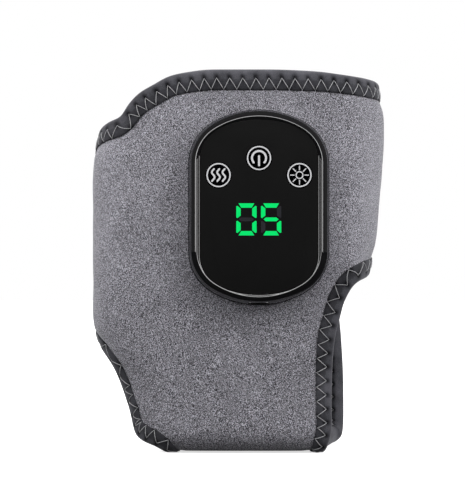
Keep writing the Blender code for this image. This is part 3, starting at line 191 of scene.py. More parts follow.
nearPlan = PlanCurve(wrapForm["nearSquareness"])
farPlan = PlanCurve(wrapForm["farSquareness"])
nearGirth, farGirth = nearPlan.girth, farPlan.girth
soleLength = 2 * (wrapForm["halfDepth"] - bendRadius)
bendLength = bendRadius * math.pi / 2


def spanAt(height):
    # Middle and half width of the wrap at a height
    left, right = (along(wrapForm[side + "Profile"], height / wrapHeight) * halfWidth
                   for side in ("left", "right"))
    return (right - left) / 2, (right + left) / 2


def nearU(x, height):
    # Flat place of a point of the near wall
    centre, half = spanAt(height)
    return nearPlan.runAt((x - centre) / half) * nearGirth


def farU(x, height):
    # Flat place of a point of the far wall
    centre, half = spanAt(height)
    return (1 - farPlan.runAt((x - centre) / half)) * farGirth


def aroundCase(x, height):
    # How far out a place lies from the controller's middle, 1 at its outline
    across = np.abs(x - caseForm["x"]) / (caseForm["width"] / 2)
    up = np.abs(height + wrapForm["shiftZ"] - caseForm["z"]) / (caseForm["height"] / 2)
    return (across ** 4 + up ** 4) ** 0.25


def stackXyz(x, y, z):
    x, y, z = np.broadcast_arrays(x, y, z)
    return np.stack((x, y + wrapForm["shiftY"], z + wrapForm["shiftZ"]), axis=-1)


def nearWall(run, height):
    centre, half = spanAt(height)
    across, out = nearPlan.at(run)
    x = centre + half * across
    flat = 1 - smoothStep(wrapForm["flatShare"], wrapForm["flatFadeShare"], aroundCase(x, height))
    out = np.where(out > 0, out + flat * (1 - out), out)
    return stackXyz(x, -wrapForm["halfDepth"] * out, height)


def farWall(run, height, halfDepth=wrapForm["halfDepth"]):
    centre, half = spanAt(height)
    across, out = farPlan.at(1 - run)
    return stackXyz(centre + half * across, halfDepth * out, height)


def underfoot(across, turn):
    # The far fold (turn 0 to 1), the sole and the near fold (to 3)
    centre, half = spanAt(bendRadius)
    nearY = -nearPlan.at(nearPlan.runAt(across))[1] * wrapForm["halfDepth"]
    farY = farPlan.at(farPlan.runAt(across))[1] * wrapForm["halfDepth"]
    angle = np.where(turn < 1, turn, np.where(turn > 2, 3 - turn, 1)) * math.pi / 2
    tuck = bendRadius * (1 - np.cos(angle))
    start, end = farY - tuck, nearY + tuck
    return stackXyz(centre + half * across, start + (end - start) * np.clip(turn - 1, 0, 1),
                    bendRadius * (1 - np.sin(angle)))


# Panels of cloth laid flat, u along and v up, in metres. Each gives the place of its points

def turnBelow(v):
    # How far round the fold and sole a point below the fold's top lies, counted from the wall
    below = bendRadius - v
    return np.where(below < bendLength, below / bendLength, 1 + (below - bendLength) / soleLength)


def nearPanel(u, v):
    # The near wall from the heel side, then the collar flap past the toe side
    u, v = np.broadcast_arrays(u, v)
    run = u / nearGirth
    flap = farWall(np.maximum(u - nearGirth, 0) / farGirth, v)
    upper = np.where((u > nearGirth)[..., None], flap, nearWall(np.minimum(run, 1), v))
    under = underfoot(nearPlan.at(np.clip(run, 0, 1))[0], 3 - turnBelow(v))
    return np.where((v >= bendRadius)[..., None], upper, under)


def footPanel(u, v):
    # The foot flap and the far half of the sole, u from the toe side
    u, v = np.broadcast_arrays(u, v)
    under = underfoot(farPlan.at(1 - u / farGirth)[0], turnBelow(v))
    return np.where((v >= bendRadius)[..., None], farWall(u / farGirth, v), under)


def wingPanel(u, v):
    return farWall(u / farGirth, v, wrapForm["wingHalfDepth"])


def facePoints(panel, u, v, depth):
    # Points at a depth below a panel's outer face
    step = 0.0006
    normal = np.cross(panel(u + step, v) - panel(u - step, v), panel(u, v + step) - panel(u, v - step))
    normal /= np.linalg.norm(normal, axis=-1, keepdims=True)
    return panel(u, v) - normal * np.broadcast_to(depth, normal.shape[:-1])[..., None]


# Outlines of the panels in flat places

def flatLine(u, v):
    return np.stack(np.broadcast_arrays(u, v), axis=-1).astype(float)


def acrossAt(table, share):
    return along(edgeForm[table], share) * halfWidth


def upAt(table, share):
    return along(edgeForm[table], share) * wrapHeight


def soleV(turns):
    # Flat height of a row round the fold and sole, its turns counted from the wall
    return bendRadius - np.where(turns < 1, turns * bendLength, bendLength + (turns - 1) * soleLength)


def soleSides(turns, flatU):
    # Flat places of the sole's heel and toe sides, turns counted from the far wall
    return [flatU(acrossAt(side + "Sole", turns), bendRadius) for side in ("heel", "toe")]


def sideEdge(side, share):
    # The heel's or toe's edge of the near wall, from the fold (0) to its corner (1)
    height = bendRadius + share * (edgeForm[side + "CornerShare"] * wrapHeight - bendRadius)
    return flatLine(nearU(acrossAt(side + "Edge", share), height), height)


corners = {side: sideEdge(side, np.ones(1))[0] for side in ("heel", "toe")}


def cutHeight(side, u):
    # Height of the lower edge between a corner and the silhouette
    corner = corners[side]
    share = u / corner[0] if side == "heel" else (u - corner[0]) / (nearGirth - corner[0])
    return corner[1] * along(edgeForm[side + "Cut"], share)


caseHeight = caseForm["z"] - wrapForm["shiftZ"]
notchRun = float(nearPlan.runAt(edgeForm["tongue"][0][0]))
flapEnd = nearGirth + float(farU(edgeForm["flapEndX"], caseHeight))
wingEnd = float(farU(edgeForm["wingEndX"], caseHeight))


def flapEdge(table, u):
    return upAt(table, (u - nearGirth) / (flapEnd - nearGirth))


def wingEdge(table, u):
    return upAt(table, (farGirth - u) / (farGirth - wingEnd))


def topEdge(u):
    # The shoulder up to the notch, the tongue, and the collar flap's top
    run = u / nearGirth
    rise = edgeForm["tongue"][0][1] - edgeForm["shoulder"]
    shoulder = (edgeForm["shoulder"] + rise * np.clip(run / notchRun, 0, 1)) * wrapHeight
    tongue = upAt("tongue", nearPlan.at(np.clip(run, 0, 1))[0])
    return np.where(run < notchRun, shoulder, np.where(run > 1, flapEdge("flapTop", u), tongue))


def footSides(level):
    # Flat places of the foot flap's heel and toe sides at a share of its height
    height = bendRadius + level * (edgeForm["footFlapHeight"] - bendRadius)
    return farU(acrossAt("footHeelSide", level), height), farU(acrossAt("footToeSide", level), height), height


def footTop(share):
    return edgeForm["footFlapHeight"] * along(edgeForm["footTop"], share)


def lengthsAlong(points):
    return np.concatenate(([0], np.cumsum(np.hypot(*np.diff(points, axis=0).T))))


def resampled(points, spacing):
    points = np.asarray(points, float)
    steps = np.hypot(*np.diff(points, axis=0).T)
    points = points[np.concatenate(([True], steps > 1e-7))]
    length = lengthsAlong(points)
    places = np.linspace(0, length[-1], max(2, int(round(length[-1] / spacing)) + 1))
    return np.stack([np.interp(places, length, points[:, k]) for k in range(2)], axis=-1)


def softened(points, spacing, radius):
    # Evens a path out over a radius, its two ends kept where they are
    points = resampled(points, spacing)
    reach = int(3 * radius / spacing)
    weights = np.exp(-0.5 * (np.arange(-reach, reach + 1) * spacing / radius) ** 2)
    weights /= weights.sum()
    before = 2 * points[0] - points[reach:0:-1]
    after = 2 * points[-1] - points[-2:-reach - 2:-1]
    padded = np.concatenate((before, points, after))
    smooth = [np.convolve(padded[:, k], weights, mode="valid") for k in range(2)]
    return resampled(np.stack(smooth, axis=-1), spacing)


def joined(first, second, radius, steps=10):
    # Two edges that meet at a corner, with a tangent arc of that radius there
    corner = first[-1]
    before, after = (np.hypot(*(edge - corner).T) for edge in (first, second))
    toward, away = first[before > radius][-1] - corner, second[after > radius][0] - corner
    toward, away = toward / np.hypot(*toward), away / np.hypot(*away)
    half = math.acos(np.clip(toward @ away, -1, 1)) / 2
    reach = radius / math.tan(half)
    middle = (toward + away) / np.hypot(*(toward + away)) * radius / math.sin(half)
    start, end = toward * reach - middle, away * reach - middle
    turn = math.atan2(start[0] * end[1] - start[1] * end[0], start @ end)
    turns = np.linspace(0, turn, steps + 1)[:, None]
    arc = corner + middle + np.cos(turns) * start + np.sin(turns) * (-start[1], start[0])
    return np.concatenate((first[before > reach], arc, second[after > reach]))


tapeForm = {"spacing": 0.00075, "softness": 0.0024}


def makeOutlines():
    # Each path keeps the cloth on its left
    many = np.linspace(0, 1, 60)
    radius = edgeForm["flapCornerRadius"]
    turns = np.linspace(edgeForm["soleSeamTurn"], 3, 40)
    heelSide, toeSide = (flatLine(u, soleV(3 - turns)) for u in soleSides(turns, nearU))
    u = corners["heel"][0] * many
    heel = np.concatenate((flatLine(u, cutHeight("heel", u)), sideEdge("heel", many)[::-1][1:],
                           heelSide[::-1][1:]))
    u = corners["toe"][0] + (nearGirth - corners["toe"][0]) * many
    flapU = np.linspace(nearGirth, flapEnd, 60)
    front = np.concatenate((toeSide, sideEdge("toe", many)[1:], flatLine(u, cutHeight("toe", u))[1:],
                            flatLine(flapU, flapEdge("flapBottom", flapU))[1:]))
    tip = flatLine(flapEnd, np.linspace(front[-1][1], float(topEdge(flapEnd)), 40))
    notch = notchRun * nearGirth
    back = np.concatenate((np.linspace(flapEnd, notch, 160), np.linspace(notch, 0, 20)[1:]))
    front = joined(joined(front, tip, radius), flatLine(back, topEdge(back)), radius)
    u = np.linspace(farGirth, wingEnd, 60)
    high, low = (flatLine(u, wingEdge(table, u)) for table in ("wingTop", "wingBottom"))
    tip = flatLine(wingEnd, np.linspace(high[-1][1], low[-1][1], 30))
    wing = joined(joined(high, tip, radius), low[::-1], radius)
    turns = np.linspace(0, edgeForm["soleSeamTurn"], 40)
    heelSide, toeSide = (flatLine(u, soleV(turns)) for u in soleSides(turns, farU))
    heelU, toeU, height = footSides(many)
    top = flatLine(heelU[-1] + (toeU[-1] - heelU[-1]) * many, footTop(many[::-1]))
    rise = np.concatenate((heelSide[::-1], flatLine(heelU, height)[1:-1], top[:1]))
    fall = np.concatenate((top[-1:], flatLine(toeU, height)[-2::-1], toeSide[1:]))
    foot = joined(joined(rise, top, radius), fall, radius)
    paths = {"heel": heel, "front": front, "wing": wing, "foot": foot}
    return {name: softened(path, tapeForm["spacing"], tapeForm["softness"])
            for name, path in paths.items()}


outlines = makeOutlines()
print("Outlines ready:", {name: len(path) for name, path in outlines.items()})


# Materials from nodes

socketNames = {
    "colour": "Base Color", "roughness": "Roughness", "metallic": "Metallic",
    "specular": "Specular IOR Level", "sheen": "Sheen Weight", "sheenRoughness": "Sheen Roughness",
    "sheenTint": "Sheen Tint", "emissionStrength": "Emission Strength",
}


def newMaterial(name, **values):
    material = bpy.data.materials.new(name)
    material.use_nodes = True
    shader = material.node_tree.nodes["Principled BSDF"]
    for socket, value in values.items():
        shader.inputs[socketNames[socket]].default_value = value
    return material


def addNode(owner, kind, inputs=(), **settings):
    # A node with its settings, its inputs given as socket: value or socket: another's output
    node = owner.node_tree.nodes.new("ShaderNode" + kind)
    for name, value in settings.items():
        setattr(node, name, value)
    for socket, value in dict(inputs).items():
        if isinstance(value, bpy.types.NodeSocket):
            owner.node_tree.links.new(value, node.inputs[socket])
        else:
            node.inputs[socket].default_value = value
    return node


def toShader(material, socket, output):
    shader = material.node_tree.nodes["Principled BSDF"]
    material.node_tree.links.new(output, shader.inputs[socket])


def objectPlace(material, stretch=(1, 1, 1), turn=(0, 0, 0)):
    place = addNode(material, "TexCoord").outputs["Object"]
    return addNode(material, "Mapping", {"Vector": place, "Scale": stretch,
                                         "Rotation": turn}).outputs[0]


def noiseAt(material, place, scale, detail=2.0, roughness=0.5):
    node = addNode(material, "TexNoise", {"Vector": place, "Scale": scale, "Detail": detail,
                                          "Roughness": roughness})
    return node.outputs["Fac"]


def rampOf(material, factor, stops):
    node = addNode(material, "ValToRGB", {"Fac": factor})
    elements = node.color_ramp.elements
    while len(elements) < len(stops):
        elements.new(0.5)
    for element, (position, colour) in zip(elements, stops):
        element.position = position
        element.color = (*colour, 1)
    return node.outputs["Color"]


def mathOf(material, operation, *values):
    return addNode(material, "Math", enumerate(values), operation=operation).outputs[0]


def bumpFrom(material, height, strength, distance):
    node = addNode(material, "Bump", {"Height": height, "Strength": strength,
                                      "Distance": distance})
    toShader(material, "Normal", node.outputs["Normal"])


def shade(value, tint=(1, 1, 1)):
    return tuple(value * part for part in tint)


def grainOf(material, *parts):
    # Noise of several sizes added up. A part has a weight, a scale, a detail and a roughness
    total = 0.0
    for weight, scale, detail, roughness, *stretch in parts:
        noise = noiseAt(material, objectPlace(material, *stretch), scale, detail, roughness)
        total = mathOf(material, "MULTIPLY_ADD", noise, weight, total)
    return total


def surfaceOf(material, factor, stops, strength, distance):
    # Colour and relief that follow one factor
    toShader(material, "Base Color", rampOf(material, factor, stops))
    bumpFrom(material, factor, strength, distance)
    return material


def makeSurface(name, parts, stops, strength, distance, **values):
    # A plain material, its colour and relief following one grain
    material = newMaterial(name, **values)
    return surfaceOf(material, grainOf(material, *parts), stops, strength, distance)


velourForm = {
    "stops": ((0.42, 0.012), (0.50, 0.160), (0.59, 0.66)), "tint": (1.0, 0.98, 1.09),
    # Painted shade by height, subtracted from the grain: darker low down and along the top
    "paintedShade": ((0.2, 0.019), (0.56, 0.0), (0.8, 0.0), (0.93, 0.014)),
    "grain": (0.68, 3700.0, 1.5, 0.6), "pile": (0.27, 1900.0, 2.0, 0.65, (1, 1, 0.8)),
    "mottle": (0.05, 45.0, 3.0, 0.6), "reliefStrength": 0.7, "reliefDepth": 0.0003,
}


def makeVelour():
    form = velourForm
    material = newMaterial("grey_velour", roughness=0.95, specular=0.05, sheen=0.5,
                           sheenRoughness=0.45, sheenTint=(0.9, 0.9, 0.95, 1))
    grain = grainOf(material, form["grain"], form["pile"], form["mottle"])
    # Painted shade: the velour is darkened low down and along the top, where less light falls
    place = addNode(material, "SeparateXYZ", {0: objectPlace(material)}).outputs["Z"]
    paintedShade = rampOf(material, mathOf(material, "DIVIDE", place, wrapHeight),
                 [(at, shade(value)) for at, value in form["paintedShade"]])
    stops = [(at, shade(value, form["tint"])) for at, value in form["stops"]]
    return surfaceOf(material, mathOf(material, "SUBTRACT", grain, paintedShade), stops,
                     form["reliefStrength"], form["reliefDepth"])


def makeBindingTape():
    material = newMaterial("grey_binding", roughness=0.72, specular=0.08, sheen=0.35,
                           sheenRoughness=0.4, sheenTint=(0.85, 0.85, 0.9, 1))
    grain = grainOf(material, (0.45, 2600.0, 2.0, 0.6), (0.55, 90.0, 3.0, 0.6))
    # Painted shade: darker in the dimples where the stitches pull the tape down
    stitchShade = addNode(material, "Attribute", attribute_name="stitchShade").outputs["Fac"]
    grain = mathOf(material, "MULTIPLY_ADD", stitchShade, -0.50, grain)
    return surfaceOf(material, grain, [(0.08, (0.004, 0.004, 0.005)), (0.38, (0.040, 0.040, 0.046)),
                                       (0.62, (0.092, 0.091, 0.104))], 0.35, 0.0003)



def makeFoam():
    material = newMaterial("white_foam", roughness=0.9, specular=0.2)
    cells = addNode(material, "TexVoronoi", {"Vector": objectPlace(material), "Scale": 1100.0})
    return surfaceOf(material, cells.outputs["Distance"],
                     [(0.0, (0.62, 0.61, 0.57)), (0.6, (0.80, 0.79, 0.76))], 0.5, 0.0003)



def makePlastic(name, low, high, roughness, grain, strength, **values):
    # Moulded plastic: a faint unevenness of colour and a grain in the surface
    material = newMaterial(name, roughness=roughness, **values)
    place = objectPlace(material)
    broad = noiseAt(material, place, 45.0, 3.0, 0.6)
    toShader(material, "Base Color", rampOf(material, broad, [(0.35, low), (0.65, high)]))
    bumpFrom(material, noiseAt(material, place, grain, 2.0, 0.5), strength, 0.0001)
    return material


velour = makeVelour()
bindingTape = makeBindingTape()
liningCloth = makeSurface("dark_lining", [(0.7, 1900.0, 2.0, 0.6), (0.3, 60.0, 2.0, 0.5)],
                          [(0.38, (0.026, 0.026, 0.029)), (0.62, (0.062, 0.062, 0.068))],
                          0.4, 0.0002, roughness=0.85, specular=0.2, sheen=0.2)
foam = makeFoam()
thread = makeSurface("grey_thread", [(1.0, 3000.0, 1.0, 0.5)],
                     [(0.35, (0.26, 0.26, 0.27)), (0.65, (0.50, 0.50, 0.52))], 0.3, 0.0001,
                     roughness=0.6, specular=0.3, sheen=0.2)
print("Materials ready")


# Cloth: closed sheets made from a grid laid on a panel

def rowsOf(low, high, cell):
    return max(2, int(math.ceil((high - low) / cell)) + 1)


def spread(low, high, cell):
    return np.linspace(low, high, rowsOf(low, high, cell))


def seamGap(inset):
    # The cloths meet at the heel side's seam, the foam stops a little short of it
    return layerForm["seamGap"] + 0.5 * (inset - layerForm["coverInset"])


def nearGrid(inset, cell):
    # Flat places of the near cloth's grid, with not-a-number in the heel and toe cuts
    (heelX, heelTop), (toeX, toeTop) = corners["heel"], corners["toe"]
    heelU = spread(seamGap(inset), heelX + inset, cell)[:-1]
    middle = spread(heelX + inset, toeX - inset, cell)
    toeU = spread(toeX - inset, nearGirth, cell)[1:]
    flapU = spread(nearGirth, flapEnd - inset, cell)[1:]
    shares = np.linspace(0, 1, len(middle))
    # Rows of the sole, the fold and the wall up to the corners
    turns = np.concatenate((spread(edgeForm["soleSeamTurn"], 2, cell / soleLength)[:-1],
                            spread(2, 3, cell / bendLength)[:-1]))
    level = spread(0, 1, cell / (toeTop - bendRadius))[:-1]
    start, end = (np.concatenate((flatLine(u, soleV(3 - turns)), sideEdge(side, level)))[:, None]
                  for side, u in zip(("heel", "toe"), soleSides(turns, nearU)))
    start, end = start + (inset, 0), end - (inset, 0)
    rows = start + (end - start) * shares[:, None]
    rows = np.pad(rows, ((0, 0), (len(heelU), len(toeU) + len(flapU)), (0, 0)),
                  constant_values=np.nan)
    # Above the corners every column runs from the lower edge to the top
    fullU = np.concatenate((heelU, middle, toeU, flapU))
    between = heelTop + (toeTop - heelTop) * shares - inset * (1 - np.abs(2 * shares - 1) ** 6)
    bottom = inset + np.concatenate((cutHeight("heel", heelU), between, cutHeight("toe", toeU),
                                     flapEdge("flapBottom", flapU)))
    top = softTop(fullU) - inset
    upper = spread(0, 1, cell / (wrapHeight * layerForm["nearRowsShare"]))[:, None]
    u = np.concatenate((rows[..., 0], np.broadcast_to(fullU, (len(upper), len(fullU)))))
    v = np.concatenate((rows[..., 1], bottom + upper * (top - bottom)))
    return roundEnd(u, v, flapEnd - inset, bottom[-1], top[-1], edgeForm["flapCornerRadius"] - inset)


def softTop(u):
    # The top edge with the notch evened out, for the cloth under the tapes
    spots = np.linspace(-1, 1, 9) * edgeForm["notchSoftness"]
    return np.minimum(topEdge(u), np.mean([topEdge(u + spot) for spot in spots], axis=0))


def roundEnd(u, v, end, low, high, radius):
    # Rounds the two corners of a grid at its far end in u
    for level, sign in ((low, -1), (high, 1)):
        a = (u - (end - radius)) / radius
        b = sign * (v - (level - sign * radius)) / radius
        near = (a > 0) & (b > 0)
        a, b = np.where(near, np.minimum(a, 1), 0), np.where(near, np.minimum(b, 1.2), 0)
        u = np.where(near, end - radius + radius * a * np.sqrt(1 - b * b / 2), u)
        v = np.where(near, level + sign * radius * (b * np.sqrt(1 - a * a / 2) - 1), v)
    return u, v


def wingGrid(inset, cell):
    u = spread(wingEnd + inset, farGirth - seamGap(inset), cell)
    low, high = wingEdge("wingBottom", u) + inset, wingEdge("wingTop", u) - inset
    shares = spread(0, 1, cell / (high - low).max())[:, None]
    v = low + shares * (high - low)
    # Mirrored in u, because the wing's free end is at the low end
    u, v = roundEnd(-np.broadcast_to(u, v.shape), v, -(wingEnd + inset), low[0], high[0],
                    edgeForm["flapCornerRadius"] - inset)
    return -u, v


def footGrid(inset, cell):
    shares = spread(0, 1, cell / (halfWidth * layerForm["footColumnsShare"]))
    turns = np.concatenate((
        np.linspace(edgeForm["soleSeamTurn"], 1, rowsOf(0, 0.5 * soleLength, cell))[:-1],
        np.linspace(1, 0, rowsOf(0, bendLength, cell))[:-1]))
    level = spread(0, 1, cell / edgeForm["footFlapHeight"])
    heel, toe = (np.concatenate(parts)[:, None] for parts in zip(soleSides(turns, farU), footSides(level)))
    u = toe + inset + (heel - toe - 2 * inset) * shares
    rise = footTop(shares) - inset - bendRadius
    v = np.concatenate((soleV(turns)[:, None] + 0 * shares, bendRadius + level[:, None] * rise))
    radius = edgeForm["flapCornerRadius"] - inset
    u, v = roundEnd(u, v, u[-1, -1], -1.0, v[-1, -1], radius)
    u, v = roundEnd(-u, v, -u[-1, 0], -1.0, v[-1, 0], radius)
    return -u, v


def addObject(name, data):
    thing = bpy.data.objects.new(name, data)
    bpy.context.scene.collection.objects.link(thing)
    return thing


def meshOf(bm, name):
    mesh = bpy.data.meshes.new(name)
    bm.to_mesh(mesh)
    bm.free()
    return mesh


def sheetMesh(name, outer, inner, absent):
    # A closed sheet between two grids of points
    rows, columns = absent.shape
    bm = bmesh.new()
    spot = bm.verts.layers.int.new("spot")
    bmesh.ops.create_grid(bm, x_segments=columns - 1, y_segments=rows - 1, size=1)
    outer, inner = outer.reshape(-1, 3), inner.reshape(-1, 3)
    gone = absent.ravel()
    for index, vert in enumerate(bm.verts):
        vert[spot] = index
        vert.co = (0, 0, 0) if gone[index] else outer[index]
    bmesh.ops.delete(bm, geom=[vert for vert in bm.verts if gone[vert[spot]]], context="VERTS")
    made = bmesh.ops.extrude_face_region(bm, geom=bm.faces[:], use_keep_orig=True)["geom"]
    for item in made:
        if isinstance(item, bmesh.types.BMVert):
            item.co = inner[item[spot]]
    bmesh.ops.recalc_face_normals(bm, faces=bm.faces)
    bm.verts.layers.int.remove(spot)
    return meshOf(bm, name)


def newPiece(name, mesh, material, stoodFor=(), sharpAngle=35):
    # A piece with its material, in place of the CAD nodes that it stands for
    mesh.shade_smooth()
    mesh.set_sharp_from_angle(angle=math.radians(sharpAngle))
    mesh.materials.append(material)
    piece = addObject(name, mesh)
    if stoodFor:
        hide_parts(*stoodFor)
    return piece


reliefForm = {
    "pressed": -0.00032,
    "swell": 0.0001,
    "pressEnd": -0.001,
    "rise": 0.0075,
    "wrinkle": 0.00022,
    "liningPuff": (-0.0002, 0.0004),
    "overFilm": 0.0009,
    "filmEdge": (-0.0015, 0.0015),
    "filmFade": 0.0200,
}


def distanceTo(paths, u, v):
    # Distance of flat places from some outlines
    spots = np.concatenate(paths)
    tree = kdtree.KDTree(len(spots))
    for index, spot in enumerate(spots):
        tree.insert((*spot, 0.0), index)
    tree.balance()
    flat = [tree.find((a, b, 0.0))[2] if a == a else 0.0 for a, b in zip(u.ravel(), v.ravel())]
    return np.array(flat).reshape(u.shape)


def puffAt(paths, u, v, share=1.0):
    # How far the cover stands proud: pressed by the tape, swelling away from it
    away = distanceTo(paths, u, v) - layerForm["tapeWidth"]
    rise = smoothStep(reliefForm["pressEnd"], reliefForm["rise"], away)
    # Three waves of different lengths, two of them bent by a slower one
    wave = (np.sin(u * 240 + 2.1 * np.sin(v * 95)) + np.sin(v * 190 + 1.7 * np.sin(u * 120) + 1.3)
            + 0.7 * np.sin((u + v) * 330 + 0.6)) / 2.7
    puff = reliefForm["pressed"] + (reliefForm["swell"] - reliefForm["pressed"]) * rise
    return share * (puff + reliefForm["wrinkle"] * rise * wave)


def settle(piece, hinge):
    # Lets a piece ride on the wrap; a piece with a hinge keeps its place, its transform baked into its mesh
    if hinge is None:
        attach(piece, "wrap")
    else:
        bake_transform(piece)


collarHinge = {"body": "collar_flap", "start": (0.060, -0.014, 0.1), "end": (0.0682, 0.012, 0.1)}
footHinge = {"body": "foot_flap", "start": (0, 0.036, 0.002), "end": (0, 0.048, 0.018)}


def buildCloth(label, panel, grid, paths, foamDepths, hinge, nodeGroup, puffShare=1.0):
    # The three layers of one panel, each replacing the CAD solids of the same layer
    form = layerForm

    def addLayer(kind, u, v, depths, absent, material, layer):
        name = label + "_" + kind
        outer, inner = (facePoints(panel, u, v, depth) for depth in depths)
        piece = newPiece(name, sheetMesh(name, outer, inner, absent), material,
                         [node + "_" + layer for node in nodeGroup])
        settle(piece, hinge)

    u, v = grid(form["coverInset"], form["coverCell"])
    puff = puffAt(paths, u, v, puffShare)
    if panel is nearPanel:
        puff = puff * smoothStep(*caseForm["calmShares"], aroundCase(panel(u, v)[..., 0], v))
    puff = np.where(v < bendRadius, np.minimum(puff, 0.0), puff)
    addLayer("velour", u, v, (-puff, form["cover"]), np.isnan(u), velour, "cover")

    u, v = grid(form["foamInset"], form["foamCell"])
    absent = np.isnan(u)
    if panel is nearPanel:
        x = panel(u, v)[..., 0]
        across, up = form["foamHole"]
        absent = absent | ((np.abs(x - caseForm["x"]) < across) & (np.abs(v - caseHeight) < up)
                           & (aroundCase(x, v) < form["foamHoleShare"]))
    addLayer("padding", u, v, foamDepths, absent, foam, "foam")

    u, v = grid(form["coverInset"], form["liningCell"])
    top, bottom = form["lining"]
    away = distanceTo(paths, u, v) - form["tapeWidth"]
    low, rise = reliefForm["liningPuff"]
    puff = rise * smoothStep(0.0, reliefForm["rise"], away) * puffShare + low
    if panel is nearPanel:
        # Fuller over the heating film, but not on the flap
        puff += (reliefForm["overFilm"] * smoothStep(*reliefForm["filmEdge"], away)
                 * smoothStep(nearGirth, nearGirth - reliefForm["filmFade"], u))
    addLayer("lining", u, v, (top, bottom + puff), np.isnan(u), liningCloth, "lining")
    print("Cloth made:", label)


buildCloth("near_panel", nearPanel, nearGrid, [outlines["heel"], outlines["front"]],
           layerForm["foam"], collarHinge, ["main_panel", "collar_flap"])
buildCloth("foot_panel", footPanel, footGrid, [outlines["foot"]], layerForm["flapFoam"],
           footHinge, ["foot_flap"])
buildCloth("rear_wing_panel", wingPanel, wingGrid, [outlines["wing"]], layerForm["flapFoam"],
           None, ["rear_wing"], 0.35)


# Binding tape folded over the edges, with its zigzag stitches

bindingForm = {
    "legSteps": 10,
    "webSteps": 11,
    "edgeLift": 0.00022,
    "fullLift": 0.00082,
    "webStart": 0.0022,
    "webReach": 0.0009,
    "stack": 0.0061,
    "thickness": 0.0005,
    "stitchPeriod": 0.0064,
    "stitchNear": 0.0086,
    "stitchFar": 0.0033,
    "threadRadius": 0.00015,
    "dimple": 0.00055,
    "dimpleReach": (0.0009, 0.0009),
    "dimpleLimit": 1.3,
    # Painted shade round the stitches: its reach, fade, share on the inner line and tone between the legs
    "shadeReach": (0.0011, 0.0017),
    "shadeFade": 0.0015,
    "shadeNearShare": 0.6,
    "shadeBetween": 0.32,
    "threadArch": 0.00028,
    "threadSink": 0.0001,
    "threadDip": 0.6,
}


def pathFrame(path):
    # Distance along a flat path and its inward directions, to the left
    tangent = np.gradient(path, axis=0)
    tangent /= np.hypot(*tangent.T)[:, None]
    return lengthsAlong(path), np.stack((-tangent[:, 1], tangent[:, 0]), axis=-1)


def legLift(inward):
    # How far a leg of the tape stands off the cloth, from its border to the fold
    form = bindingForm
    share = np.clip((layerForm["tapeWidth"] - inward) / (layerForm["tapeWidth"] - form["webStart"]),
                    0, 1)
    return form["edgeLift"] + (form["fullLift"] - form["edgeLift"]) * np.sqrt(
        np.clip(share * (2 - share), 0, 1))


def stitchSpots(length):
    # Distances along the tape of the needle holes, and which of them are on the outer line
    count = max(2, int(round(length / (bindingForm["stitchPeriod"] / 2))))
    count += count % 2
    places = (np.arange(count) + 0.5) * length / count
    return places, np.arange(count) % 2 == 1


def stitchMarks(distance, inward, length, reach, nearShare):
    # Soft spots round the needle holes, weaker on the tape's inner line
    form, marks = bindingForm, 0.0
    for place, isOuter in zip(*stitchSpots(length)):
        line, share = (form["stitchFar"], 1.0) if isOuter else (form["stitchNear"], nearShare)
        marks = marks + share * np.exp(-((distance - place) / reach[0]) ** 2
                                       - ((inward - line) / reach[1]) ** 2)
    return marks


def dimplesAt(distance, inward, length):
    # How deep the stitches pull the tape down
    marks = stitchMarks(distance, inward, length, bindingForm["dimpleReach"], 1.0)
    return bindingForm["dimple"] * np.minimum(marks, bindingForm["dimpleLimit"])


def stitchShadeAt(distance, inward, length):
    # Painted shade round the stitches: most at the outer holes, a little between the legs
    form = bindingForm
    between = smoothStep(form["stitchFar"], form["stitchFar"] + form["shadeFade"], inward)
    marks = stitchMarks(distance, inward, length, form["shadeReach"], form["shadeNearShare"])
    return np.minimum(form["shadeBetween"] * between + marks, 1.0)


def tapeSection():
    # Inward place and depth of the tape's outer face, from one leg round the edge to the other
    form = bindingForm
    inward = np.linspace(layerForm["tapeWidth"], form["webStart"], form["legSteps"])
    turns = np.linspace(0, math.pi, form["webSteps"] + 2)[1:-1]
    middle, half = form["stack"] / 2, form["stack"] / 2 + form["fullLift"]
    webInward = form["webStart"] - (form["webStart"] + form["webReach"]) * np.sin(turns)
    webDepth = middle - half * np.cos(turns)
    lift = legLift(inward)
    return (np.concatenate((inward, webInward, inward[::-1])),
            np.concatenate((-lift, webDepth, form["stack"] + lift[::-1])))


def buildTape(label, panel, path, hinge, nodeNames):
    form = bindingForm
    length, inwardWay = pathFrame(path)
    inward, depth = tapeSection()
    flat = path[:, None] + inwardWay[:, None] * inward[:, None]
    sink = dimplesAt(length[:, None], inward, length[-1])
    leg = form["legSteps"]
    sink[:, leg:-leg] = 0
    sink[:, -leg:] *= -1
    points = facePoints(panel, flat[..., 0], flat[..., 1], depth + sink)
    bm = bmesh.new()
    bmesh.ops.create_grid(bm, x_segments=len(inward) - 1, y_segments=len(path) - 1, size=1)
    for vert, point in zip(bm.verts, points.reshape(-1, 3)):
        vert.co = point
    mesh = meshOf(bm, label)
    # Painted shade round the stitches, passed to the tape's material
    stitchShade = mesh.attributes.new("stitchShade", "FLOAT", "POINT")
    stitchShade.data.foreach_set("value", stitchShadeAt(length[:, None], inward, length[-1]).ravel())
    tape = newPiece(label, mesh, bindingTape, nodeNames, 60)
    solid = tape.modifiers.new("Thickness", "SOLIDIFY")
    solid.thickness = form["thickness"]
    solid.offset = -1
    settle(tape, hinge)
    name = label + "_stitches"
    settle(newPiece(name, stitchMesh(name, panel, path), thread, sharpAngle=70), hinge)
    print("Tape made:", label, round(float(length[-1]) * 1000), "mm")


